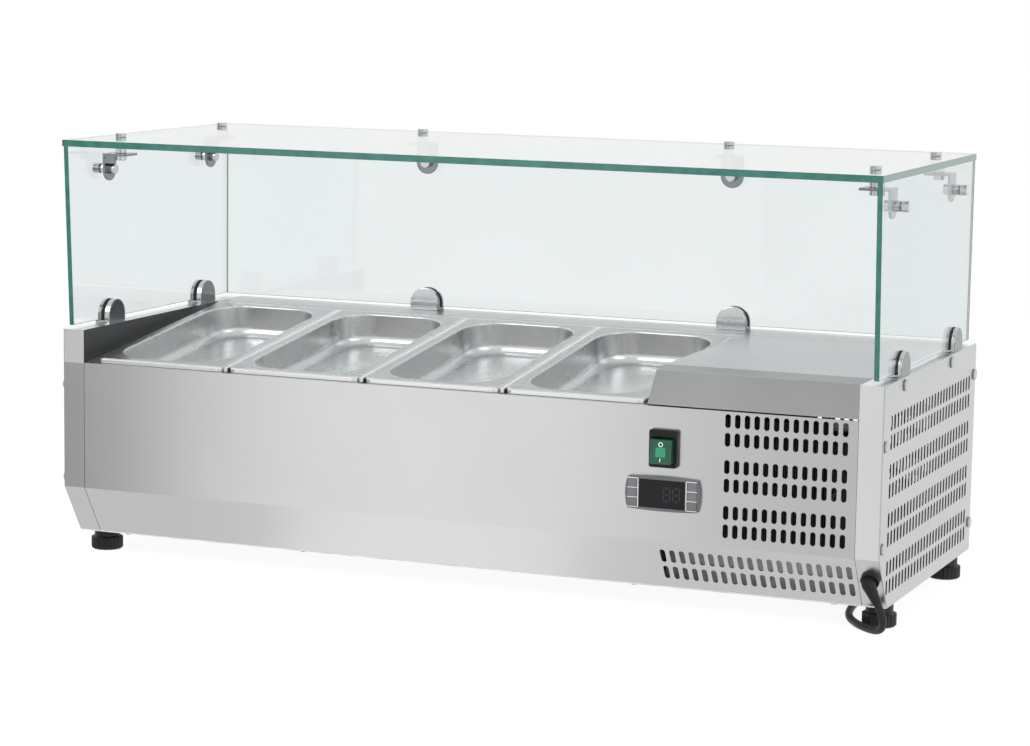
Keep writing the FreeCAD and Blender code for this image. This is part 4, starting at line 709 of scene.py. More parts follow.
def settle(piece: Piece, slot: Slot, body: str, replaces: Sequence[str]) -> None:
    """Say what a piece rides on and stands for.

    Args:
        piece: The piece.
        slot: Not used.
        body: The body that carries it.
        replaces: The CAD nodes that it stands for.
    """
    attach(piece, body)
    if replaces:
        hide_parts(*replaces)
    LOG.info("%s rides on %s", piece.name, body)


def round_edges(piece: Piece, width: float, segments: int = 2, finish_index: int = -1) -> None:
    """Round a piece's sharp edges with a live modifier.

    Args:
        piece: The piece.
        width: How wide the round is.
        segments: How many faces it has.
        finish_index: The material index of the round, or -1 for its neighbours'.
    """
    bevel = piece.modifiers.new("edges", "BEVEL")
    bevel.width = width
    bevel.segments = segments
    bevel.limit_method = "ANGLE"
    bevel.angle_limit = SHARP
    bevel.harden_normals = True
    bevel.material = finish_index


def even_normals(piece: Piece) -> None:
    """Keep a piece's flat faces flat beside its rounded edges."""
    weighted = piece.modifiers.new("normals", "WEIGHTED_NORMAL")
    weighted.keep_sharp = True


@dataclass
class SubAssembly:
    """A group of pieces that are built and dressed together."""

    nodes: dict[str, Piece]

    def panels(self, node: str) -> Solid:
        """Copy a CAD node's mesh, with its triangles joined to whole panels.

        Args:
            node: The CAD node.

        Returns:
            The joined copy.
        """
        shape = bmesh.new()
        shape.from_mesh(self.nodes[node].data)
        bmesh.ops.remove_doubles(shape, verts=shape.verts, dist=WELD)
        bmesh.ops.dissolve_limit(
            shape, angle_limit=FLAT, use_dissolve_boundaries=False, verts=shape.verts, edges=shape.edges
        )
        return shape

    def softened(
        self,
        node: str,
        finishes: Sequence[Finish],
        edge: float,
        body: str = BODY,
        segments: int = 2,
        zone: Callable[[Face], int] | None = None,
    ) -> Piece:
        """Stand a copy with rounded edges in for a CAD node.

        Args:
            node: The CAD node.
            finishes: Its finishes, by zone.
            edge: How wide its edges are rounded.
            body: The body that carries it.
            segments: How many faces a rounded edge has.
            zone: Tells which finish a face has.

        Returns:
            The piece.
        """
        shape = self.panels(node)
        if zone is not None:
            for face in shape.faces:
                face.material_index = zone(face)
        piece = make_piece(node + "_shell", shape, finishes, body, [node])
        round_edges(piece, edge, segments)
        return piece

    def dress(self, finish: Finish, *names: str) -> None:
        """Give CAD nodes that stay as they are a finish.

        Args:
            finish: The finish.
            *names: The CAD nodes.
        """
        for name in names:
            mesh = self.nodes[name].data
            mesh.materials.clear()
            mesh.materials.append(material(finish))
            LOG.info("%s is dressed", name)


@dataclass
class Casing(SubAssembly):
    """The steel body: front, ends, sides, hood, ledge and well."""

    fold: float = 0.6 * MM
    rim: float = 0.5 * MM
    head: float = 1.0 * MM
    bar: float = 1.4 * MM
    corner: float = 1.2 * MM
    end_round: float = 0.6 * MM
    skin: float = 0.3 * MM
    long_edge: float = 30.0 * MM
    seam_x: float = 495.0 * MM
    crease: float = 1.0
    level: float = 0.999
    near_level: float = 0.95

    def front(self) -> None:
        """Make the front panel, with rounded ends painted dark beside the caps and a dark inside, both
        painted shade.
        """
        shape = self.panels("front_panel")
        rounded(
            shape,
            lambda edge: abs(middle(edge).x) > self.seam_x and edge.calc_length() > self.long_edge,
            self.end_round,
            3,
        )
        # Inside faces and the ends beside the caps get the near-black steel: painted shade.
        for face in shape.faces:
            outermost = abs(face.calc_center_median().x) > self.seam_x - self.corner
            at_seam = abs(face.normal.x) > LEANING and outermost
            face.material_index = int(face.normal.y > LEANING or at_seam)
        piece = make_piece("front_panel_shell", shape, [FACE_STEEL, INNER_SHADE_STEEL], BODY, ["front_panel"])
        round_edges(piece, self.fold)
        even_normals(piece)

    def rear_zone(self, face: Face) -> int:
        """Tell the rear panel's outside, inside and ledge apart; the inside and the ledge are painted darker,
        painted shade.
        """
        if face.normal.z > FACING:
            return 2
        return int(face.normal.y < -LEANING or face.normal.z < -LEANING)

    def hood_zone(self, face: Face) -> int:
        """Tell the hood's front, top, inside and the break between front and top apart; the top, inside and
        break are painted darker, painted shade.
        """
        if face.normal.z < -LEANING:
            return 2
        if face.normal.z > self.level:
            return 1
        return 3 if face.normal.z > self.near_level else 0

    def cap(self, node: str, finish: BrushedSteel) -> None:
        """Make an end cap: its strip round the end painted bright, a painted highlight, and its inside
        painted dark, painted shade.

        Args:
            node: The CAD node.
            finish: The strip's finish.
        """
        low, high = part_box(node)

        def zone(face: Face) -> int:
            """Tell the strip's outer faces from the others."""
            spot = face.calc_center_median()
            on_top = high.z - spot.z < self.skin
            on_end = spot.y - low.y < self.skin or high.y - spot.y < self.skin
            if face.normal.y < -LEANING and face.normal.z < -LEANING:
                return 2
            return 0 if on_top or on_end else 1

        self.softened(node, [finish, INNER_SHADE_STEEL, FACE_STEEL], self.fold, zone=zone)

    def side(self, node: str, outward: float) -> None:
        """Make a side panel with a rounded outline.

        Args:
            node: The CAD node.
            outward: 1 for the right side, -1 for the left.
        """
        shape = self.panels(node)
        for face in shape.faces:
            # Inward-facing faces get the near-black steel: painted shade.
            face.material_index = int(face.normal.x * outward < -LEANING)

        def outline(edge: Edge) -> bool:
            """Tell the outer face's long edges from the slots' short ones."""
            facing = max(face.normal.x * outward for face in edge.link_faces)
            bent = edge.calc_face_angle(0.0) > self.crease
            return facing > FACING and edge.calc_length() > self.long_edge and bent

        rounded(shape, outline, self.corner)
        piece = make_piece(node + "_shell", shape, [SIDE_STEEL, INNER_SHADE_STEEL], BODY, [node])
        round_edges(piece, self.rim)
        even_normals(piece)

    def build(self) -> None:
        """Round the sheets' folds and dress them."""
        self.front()
        self.softened(
            "rear_panel",
            [FACE_STEEL, INNER_SHADE_STEEL, LEDGE_SHADE_STEEL],
            self.rim,
            zone=self.rear_zone,
        )
        self.softened(
            "compressor_hood",
            [HOOD_STEEL, HOOD_TOP_SHADE_STEEL, INNER_SHADE_STEEL, HOOD_BREAK_SHADE_STEEL],
            self.fold,
            zone=self.hood_zone,
        )
        self.cap("left_end_cap", LEFT_CAP_LIT_AND_SHADED_STEEL)
        self.cap("right_end_cap", RIGHT_CAP_LIT_STEEL)
        self.side("left_side_panel", -1.0)
        self.side("right_side_grille", 1.0)
        self.softened("well_liner", [LINER_STEEL], self.fold)
        self.softened("divider_bars", [BAR_LIT_STEEL], self.bar, segments=4)
        for node in ("side_screws", "rear_screws", "tray_screws"):
            self.softened(node, [SCREW_STEEL], self.head, segments=3)
        self.dress(TRAY_ZINC, "base_tray")
        # The bulkhead is painted near black: painted shade.
        self.dress(INNER_SHADE_STEEL, "bulkhead")
        self.dress(FOAM, "insulation")


@dataclass(frozen=True)
class Ring:
    """A rounded rectangle inside a pan's outline."""

    inset: float
    height: float
    corner: float

    def points(self, width: float, length: float, steps: int) -> list[Vector]:
        """Work out the ring's corners, from the front left round.

        Args:
            width: The outline's width.
            length: The outline's length.
            steps: How many faces a rounded corner has.

        Returns:
            The points.
        """
        across = width / 2 - self.inset - self.corner
        near = self.inset + self.corner
        far = length - near
        centres = ((-across, near), (across, near), (across, far), (-across, far))
        points = []
        for quarter, (x, y) in enumerate(centres):
            for i in range(steps + 1):
                angle = math.pi + (quarter + i / steps) * math.pi / 2
                reach = Vector((math.cos(angle), math.sin(angle), 0.0)) * self.corner
                points.append(Vector((x, y, self.height)) + reach)
        return points


@dataclass
class PanRow(SubAssembly):
    """The lift-out pans, each laid through rounded rectangles."""

    count: int = 4
    width: float = 176.0 * MM
    length: float = 325.0 * MM
    wall: float = 1.0 * MM
    rim: float = 12.5 * MM
    lip_drop: float = 6.0 * MM
    lip_corner: float = 10.0 * MM
    lip_round: float = 2.6 * MM
    mouth_round: float = 1.8 * MM
    depth: float = 40.0 * MM
    taper: float = math.radians(4.0)
    corner: float = 46.0 * MM
    bottom_round: float = 14.0 * MM
    corner_steps: int = 9
    bend_steps: int = 8
    edge_steps: int = 5
    level: float = 0.99
    upright: float = 0.4

    def build(self) -> None:
        """Make the pans."""
        for number in range(1, self.count + 1):
            self.pan(f"pan_{number}")

    def bend(self, thickness: float) -> list[Ring]:
        """Work out the bend from a bin's wall to its floor.

        Args:
            thickness: How far the face lies inside the bin's outer face.

        Returns:
            The rings, from the wall to the floor.
        """
        radius = self.bottom_round - thickness
        depth = self.depth - thickness
        hub = self.rim + thickness + math.tan(self.taper) * (depth - radius) + radius / math.cos(self.taper)
        touch = hub - radius * math.cos(self.taper)
        rings = []
        for i in range(self.bend_steps + 1):
            angle = self.taper + (math.pi / 2 - self.taper) * i / self.bend_steps
            inset = hub - radius * math.cos(angle)
            height = radius - depth - radius * math.sin(angle)
            rings.append(Ring(inset, height, self.corner - thickness - inset + touch))
        return rings

    def rings(self) -> list[Ring]:
        """Work out a pan's rings, from the floor over the rim and lip to the underside."""
        shown = [Ring(0.0, -self.lip_drop, self.lip_corner)]
        edge = self.rim + self.wall
        turns = [math.pi / 2 * i / self.edge_steps for i in range(self.edge_steps + 1)]
        for turn in turns:
            reach = self.lip_round * (1 - math.cos(turn))
            shown.append(Ring(reach, self.lip_round * (math.sin(turn) - 1), self.lip_corner - reach))
        for turn in turns:
            reach = self.mouth_round * (1 - math.sin(turn))
            drop = self.mouth_round * (1 - math.cos(turn))
            shown.append(Ring(edge - reach, -drop, self.corner - self.wall + reach))
        shown += self.bend(self.wall)
        hidden = [
            Ring(self.wall, -self.lip_drop, self.lip_corner - self.wall),
            Ring(self.wall, -self.wall, self.lip_corner - self.wall),
            Ring(self.rim, -self.wall, self.corner),
        ]
        return shown[::-1] + hidden + self.bend(0.0)

    def pan(self, name: str) -> None:
        """Make one pan where its CAD node lies.

        Args:
            name: The CAD node, which is also the body's name.
        """
        mesh = self.nodes[name].data
        flat = max(mesh.polygons, key=lambda face: face.area * (face.normal.z > FACING)).normal.copy()
        across = Vector((1.0, 0.0, 0.0))
        along = flat.cross(across)
        low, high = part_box(name)
        front = min(vert.co.dot(along) for vert in mesh.vertices)
        level = max(vert.co.dot(flat) for vert in mesh.vertices)
        origin = across * (low.x + high.x) / 2 + along * front + flat * level
        frame = Matrix.Translation(origin) @ Matrix((across, along, flat)).transposed().to_4x4()
        shape = bmesh.new()
        loops = []
        for ring in self.rings():
            points = ring.points(self.width, self.length, self.corner_steps)
            loops.append([shape.verts.new(frame @ point) for point in points])
        for first, second in zip(loops, loops[1:]):
            for i in range(len(first)):
                shape.faces.new((first[i - 1], first[i], second[i], second[i - 1]))
        shape.faces.new(loops[0])
        shape.faces.new(loops[-1])
        bmesh.ops.recalc_face_normals(shape, faces=shape.faces)
        # Lip fronts get a bright copy of the steel, a painted highlight; flat rim tops a dark copy, painted
        # shade.
        for face in shape.faces:
            spot = face.calc_center_median()
            drop = level - spot.dot(flat)
            if face.normal.y < -self.upright and spot.dot(along) - front < self.lip_round:
                face.material_index = 1
            elif face.normal.dot(flat) > self.level and drop < self.wall / 2:
                face.material_index = 2
        even_normals(make_piece(name + "_shell", shape, [PAN_STEEL, LIP_LIT_STEEL, RIM_SHADE_STEEL], name, [name]))


@dataclass
class GlassGuard(SubAssembly):
    """The panes, their clamps and the corner fittings that join them."""

    arris: float = 1.3 * MM
    fitting: float = 0.8 * MM
    clamp: float = 1.2 * MM
    clamp_side: float = 0.7

    def pane(self, node: str, way: int) -> None:
        """Make a pane with clear faces and green ground edges.

        Args:
            node: The CAD node.
            way: The axis through the pane, 0 to 2.
        """
        shape = self.panels(node)
        for face in shape.faces:
            face.material_index = int(abs(face.normal[way]) <= FACING)
        piece = make_piece(node + "_pane", shape, [GLASS, GLASS_EDGE, GLASS_ARRIS], BODY, [node])
        round_edges(piece, self.arris, 1, 2)
        piece.visible_shadow = False

    def build(self) -> None:
        """Make the panes and their fittings."""
        for node, way in (("left_glass", 0), ("right_glass", 0), ("back_glass", 1), ("top_glass", 2)):
            self.pane(node, way)
        for node in ("bracket_posts", "standoff_bolts"):
            self.softened(node, [CHROME], self.fitting, segments=3)
        # The bars' chrome is darkened: a painted reflection.
        self.softened("bracket_bars", [BAR_DARK_REFLECTION_CHROME], self.fitting, segments=3)
        self.softened(
            "glass_clamps",
            [CHROME, SHADED_CHROME],
            self.clamp,
            segments=3,
            zone=lambda face: int(face.normal.x > self.clamp_side),
        )
        self.dress(GASKET, "clamp_gaskets")


@dataclass
class Controls(SubAssembly):
    """The rocker switch and the temperature controller."""

    bezel_corner: float = 3.0 * MM
    bezel_edge: float = 1.6 * MM
    face_edge: float = 0.2 * MM
    opening_edge: float = 0.05 * MM
    fine_edge: float = 0.3 * MM
    rocker_edge: float = 1.8 * MM
    rocker_tilt: float = math.radians(10.0)
    lamp_width: float = 12.0 * MM
    lamp_top: float = 5.0 * MM
    lamp_bottom: float = 6.0 * MM
    ring_height: float = 8.6 * MM
    ring_radius: float = 2.9 * MM
    bar_height: float = 9.4 * MM
    bar_length: float = 4.2 * MM
    stroke: float = 1.1 * MM
    proud: float = 0.15 * MM
    key_count: int = 6
    key_pitch: float = 11.2 * MM
    line_width: float = 0.9 * MM
    line_gap: float = 1.6 * MM
    line_reach: float = 13.0 * MM
    digit_width: float = 8.0 * MM
    digit_height: float = 15.0 * MM
    digit_stroke: float = 1.5 * MM
    digit_places: tuple[float, ...] = (6.0 * MM, 17.5 * MM)
    switch_margin: float = 0.1 * MM
    face_margin: float = 3.2 * MM
    crease: float = 0.6
    straight: float = 0.01 * MM
    ring_steps: int = 24
    row_steps: tuple[float, ...] = (-1.5, -0.5, 0.5, 1.5)

    def outlined(
        self, node: str, finish: Finish, corner: float, edge: float, fine: float, margin: float
    ) -> None:
        """Make a bezel whose outline is rounded.

        Args:
            node: The CAD node.
            finish: Its finish.
            corner: How wide its upright corners are rounded, or 0 to leave them.
            edge: How wide its front edge is rounded.
            fine: How wide its other edges are rounded.
            margin: How far its outline may lie inside its box.
        """
        shape = self.panels(node)
        low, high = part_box(node)

        def outside(spot: Vector) -> bool:
            """Tell whether a point is on the outline."""
            return (
                min(spot.x - low.x, high.x - spot.x) < margin or min(spot.z - low.z, high.z - spot.z) < margin
            )

        def upright(edge: Edge) -> bool:
            """Tell whether an edge runs straight back from a corner of the front."""
            ends = [vert.co for vert in edge.verts]
            across = min(ends[0].x - low.x, high.x - ends[0].x) < margin
            along = min(ends[0].z - low.z, high.z - ends[0].z) < margin
            run = abs(ends[0].y - ends[1].y)
            return across and along and run > MM and edge.calc_length() - run < self.straight

        def front(edge: Edge) -> bool:
            """Tell whether an edge bounds the front face on its outside."""
            facing = min(face.normal.y for face in edge.link_faces) < -FACING
            return facing and edge.calc_face_angle(0.0) > self.crease and outside(middle(edge))

        if corner > 0.0:
            rounded(shape, upright, corner)
        rounded(shape, front, edge)
        piece = make_piece(node + "_shell", shape, [finish], BODY, [node])
        round_edges(piece, fine)
        even_normals(piece)

    def rocker_marks(self) -> None:
        """Put the lit field, the ring and the bar on the rocker's two faces."""
        low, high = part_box("switch_rocker")
        lean = (high.z - low.z) / 2 * math.tan(self.rocker_tilt)
        crease = Matrix.Translation(((low.x + high.x) / 2, low.y + lean, (low.z + high.z) / 2))
        below = crease @ Matrix.Rotation(-self.rocker_tilt, 4, "X")
        wide = self.lamp_width / 2
        lamp = [
            moved(self.plate(-wide, wide, 0.0, self.lamp_top), crease),
            moved(self.plate(-wide, wide, -self.lamp_bottom, 0.0), below),
        ]
        make_piece("rocker_lamp", gathered(lamp), [GREEN_LAMP], "rocker")
        inner = self.ring_radius - self.stroke
        section = (
            (inner, -self.proud),
            (self.ring_radius, -self.proud),
            (self.ring_radius, 2 * self.proud),
            (inner, 2 * self.proud),
            (inner, -self.proud),
        )
        ring = moved(turned(section, self.ring_steps), aim(Vector((0.0, -1.0, 0.0))))
        moved(ring, Matrix.Translation((0.0, 0.0, self.ring_height)))
        reach = self.bar_length / 2
        half = self.stroke / 2
        bar = self.plate(-half, half, -self.bar_height - reach, reach - self.bar_height, 2 * self.proud)
        marks = gathered([moved(ring, crease), moved(bar, below)])
        make_piece("rocker_marks", marks, [ROCKER_INK], "rocker")

    def plate(self, left: float, right: float, bottom: float, top: float, proud: float = 0.0) -> Solid:
        """Make a thin upright plate about a face at Y = 0.

        Args:
            left: Its left edge.
            right: Its right edge.
            bottom: Its lower edge.
            top: Its upper edge.
            proud: How far it stands out, or 0 for the usual amount.

        Returns:
            The plate.
        """
        return block(Vector((left, -(proud or self.proud), bottom)), Vector((right, self.proud, top)))

    def key_lines(self) -> None:
        """Put the white brackets between the keys on the controller's face."""
        low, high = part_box("controller_bezel")
        window_low, window_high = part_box("controller_window")
        centre = Matrix.Translation(((low.x + high.x) / 2, low.y, (low.z + high.z) / 2))
        start = (window_high.x - window_low.x) / 2 + self.line_gap
        half = self.line_width / 2
        reach = self.row_steps[-1] * self.key_pitch
        lines = []
        for side in (-1, 1):
            lines.append(self.plate(side * start - half, side * start + half, -reach, reach))
            ends = sorted((side * start, side * (start + self.line_reach)))
            for step in self.row_steps:
                height = step * self.key_pitch
                lines.append(self.plate(ends[0], ends[1], height - half, height + half))
        make_piece("key_lines", moved(gathered(lines), centre), [WHITE_INK])

    def digits(self) -> None:
        """Put unlit digits behind the window's face."""
        low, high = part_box("controller_window")
        centre = Matrix.Translation(((low.x + high.x) / 2, low.y, (low.z + high.z) / 2))
        wide = self.digit_width / 2
        tall = self.digit_height / 2
        thick = self.digit_stroke / 2
        proud = self.proud / 3
        inner = wide - 2 * thick
        parts = []
        for x in self.digit_places:
            for z in (-tall, 0.0, tall):
                parts.append(self.plate(x - inner, x + inner, z - thick, z + thick, proud))
            for upright in (x - wide, x + wide):
                for z in (-tall, 0.0):
                    parts.append(
                        self.plate(upright - thick, upright + thick, z + thick, z + tall - thick, proud)
                    )
        make_piece("unlit_digits", moved(gathered(parts), centre), [GHOST])

    def build(self) -> None:
        """Make the switch, the controller and their marks."""
        self.outlined(
            "switch_bezel",
            BLACK_PLASTIC,
            self.bezel_corner,
            self.bezel_edge,
            self.fine_edge,
            self.switch_margin,
        )
        self.softened("switch_rocker", [GREEN], self.rocker_edge, "rocker", 4)
        self.rocker_marks()
        self.outlined(
            "controller_bezel", GREY_PLASTIC, 0.0, self.face_edge, self.opening_edge, self.face_margin
        )
        self.softened("controller_window", [WINDOW], self.fine_edge)
        self.digits()
        self.key_lines()
        for number in range(1, self.key_count + 1):
            self.softened(f"key_{number}", [KEY_PLASTIC], self.fine_edge, f"controller_key_{number}")


@dataclass
class Feet(SubAssembly):
    """The ribbed levelling feet."""

    edge: float = 0.5 * MM

    def build(self) -> None:
        """Round and dress the feet."""
        for place in ("front_left", "front_right", "rear_left", "rear_right"):
            self.softened("foot_" + place, [FOOT_PLASTIC], self.edge, place + "_foot")
        self.dress(SCREW_STEEL, "foot_nuts")


@dataclass
class CoolingUnit(SubAssembly):
    """What stands behind the vents and under the well."""

    def build(self) -> None:
        """Dress the unit's parts."""
        self.dress(PAINT, "compressor", "fan_motor", "fan_shroud")
        self.dress(BLACK_PLASTIC, "terminal_box", "fan_blades")
        self.dress(GASKET, "compressor_mounts")
        # The condenser's fins are painted near black with darker gaps: painted shade.
        self.dress(FINS, "condenser")
        self.dress(COPPER, "evaporator_coil", "filter_drier", "refrigerant_tubes")
        self.dress(PROBE, "temperature_probe")


@dataclass
class MainsLead(SubAssembly):
    """The mains lead: its strain relief, its route to the coil behind the body, its tie and its plug."""

    radius: float = 4.5 * MM
    length: float = 2.062
    exit: Point = (522.530, -202.258, 39.732)
    exit_run: Point = (528.545, -204.063, 29.506)
    route: tuple[Point, ...] = (
        (530.0, -202.0, 16.8),
        (524.5, -194.5, 8.0),
        (511.0, -182.5, 4.8),
        (486.5, -158.5, 4.8),
        (466.0, -122.0, 4.8),
        (456.0, -72.0, 4.8),
        (453.0, -14.0, 4.8),
        (450.0, 46.0, 4.8),
        (440.0, 108.0, 4.8),
        (426.0, 166.0, 4.9),
        (413.0, 216.0, 5.2),
        (403.5, 250.0, 5.5),
    )
    neck: float = 6.0 * MM
    neck_length: float = 16.0 * MM
    neck_ribs: int = 4
    shoulder: float = 13.6 * MM
    rib_depth: float = 0.8 * MM
    rib_gap: float = 1.2 * MM
    grip_edge: float = 1.5 * MM
    gland_edge: float = 1.2 * MM
    tie_edge: float = 0.2 * MM
    pin_steps: int = 20
    round_steps: int = 6
    curve_steps: int = 8
    grip_grooves: int = 5
    groove_pitch: float = 5.5 * MM
    pin_length: float = 19.0 * MM
    pin_radius: float = 2.4 * MM
    pin_pitch: float = 19.0 * MM
    coil_middle: tuple[float, float] = (340.0, 302.0)
    coil_radius: float = 58.0
    coil_pitch: float = 9.9
    coil_lie: float = 5.7
    coil_run: float = 17.0
    coil_half_turns: int = 4
    points_in_half_turn: int = 8
    tail: tuple[Point, ...] = (
        (0.0, -15.0, 0.0),
        (-5.5, -31.0, 0.4),
        (-17.0, -44.0, 0.9),
        (-33.0, -52.0, 1.3),
        (-50.0, -54.5, 1.7),
        (-66.0, -54.5, 1.7),
    )

    def coil(self) -> list[Vector]:
        """Work out the coil's points: half turns that wind in, climb a layer and wind out.

        Returns:
            The points, in millimetres.
        """
        wide = [self.coil_radius - i * self.coil_pitch / 2 for i in range(self.coil_half_turns + 1)]
        turns = wide + wide[-2::-1]
        step = math.pi / self.points_in_half_turn
        here = Vector((self.coil_middle[0] + self.coil_radius, self.coil_middle[1], self.coil_lie))
        points = []
        side = -1
        for index, radius in enumerate(turns):
            rise = self.coil_pitch if index == self.coil_half_turns else 0.0
            hub = here + Vector((side * radius, 0.0, 0.0))
            for i in range(self.points_in_half_turn):
                share = (i + 0.5) / self.points_in_half_turn
                angle = share * math.pi
                reach = radius / math.cos(step / 2)
                offset = Vector((-side * math.cos(angle), -side * math.sin(angle), 0.0)) * reach
                points.append(hub + offset + Vector((0.0, 0.0, rise * share)))
            here = here + Vector((2 * side * radius, 0.0, rise))
            side = -side
        return points

    def points(self) -> list[Vector]:
        """Return the whole route's points, in metres."""
        start = Vector((self.coil_middle[0] + self.coil_radius, self.coil_middle[1], self.coil_lie))
        lead_end = start - Vector((0.0, 2 * self.radius / MM, 0.0))
        run = [Vector(self.exit), Vector(self.exit_run)]
        run += [Vector(point) for point in self.route]
        run += [lead_end - Vector((0.0, self.coil_run, 0.0)), lead_end]
        run += self.coil()
        last = Vector((self.coil_middle[0] - self.coil_radius, lead_end.y, self.coil_lie + self.coil_pitch))
        run.append(last)
        run += [last + Vector(step) for step in self.tail]
        return [point * MM for point in run]

    def plug(self) -> Piece:
        """Make the plug: a ribbed neck, a grip with grooves and two pins.

        Returns:
            The plug.
        """
        low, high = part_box("plug")
        back = Vector((high.x, (low.y + high.y) / 2, (low.z + high.z) / 2))
        wide = (high.z - low.z) / 2
        profile = [(0.0, 0.0), (self.neck, 0.0)]
        for i in range(self.neck_ribs):
            rise = self.neck_length * (i + 0.5) / self.neck_ribs
            radius = self.neck + (self.shoulder - self.neck) * (i + 1) / self.neck_ribs
            profile += [(radius, rise), (radius - self.rib_depth, rise + self.rib_gap)]
        face = high.x - low.x - self.pin_length
        profile += [(wide - self.grip_edge, self.neck_length), (wide, self.neck_length + self.grip_edge)]
        for i in range(self.grip_grooves):
            rise = self.neck_length + self.groove_pitch * (i + 1)
            profile += [
                (wide, rise - self.rib_gap),
                (wide - self.rib_depth, rise),
                (wide, rise + self.rib_gap),
            ]
        profile += [(wide, face - self.grip_edge), (wide - self.grip_edge, face), (0.0, face)]
        shape = turned(profile)
        for side in (-1, 1):
            pin = turned(
                [
                    (0.0, face - MM),
                    (self.pin_radius, face - MM),
                    (self.pin_radius, face + self.pin_length - self.grip_edge),
                    (self.pin_radius / 2, face + self.pin_length),
                    (0.0, face + self.pin_length),
                ],
                self.pin_steps,
            )
            for ring in pin.faces:
                ring.material_index = 1
            shape = gathered([shape, moved(pin, Matrix.Translation((0.0, side * self.pin_pitch / 2, 0.0)))])
        moved(shape, Matrix.Translation(back) @ aim(Vector((-1.0, 0.0, 0.0))))
        return make_piece("plug_body", shape, [BLACK_PLASTIC, PIN_METAL], BODY, ["plug"])

    def build(self) -> None:
        """Lay the lead and dress the pieces on it."""
        self.softened("cord_gland", [BLACK_PLASTIC], self.gland_edge, segments=3)
        tie = self.softened("cord_tie", [BLACK_PLASTIC], self.tie_edge)
        plug = self.plug()
        curve = bpy.data.curves.new("mains_lead", "CURVE")
        curve.dimensions = "3D"
        curve.bevel_depth = self.radius
        curve.bevel_resolution = self.round_steps
        curve.use_fill_caps = True
        points = self.points()
        spline = curve.splines.new("NURBS")
        spline.points.add(len(points) - 1)
        for knot, point in zip(spline.points, points):
            knot.co = (*point, 1.0)
        spline.order_u = 3
        spline.use_endpoint_u = True
        spline.resolution_u = self.curve_steps
        lead = linked("mains_lead", curve)
        curve.materials.append(material(CORD_RUBBER))
        settle(lead, Slot.RUBBER, BODY, ["cord_lead", "cord_coil", "cord_tail"])
        tuple(points[0])


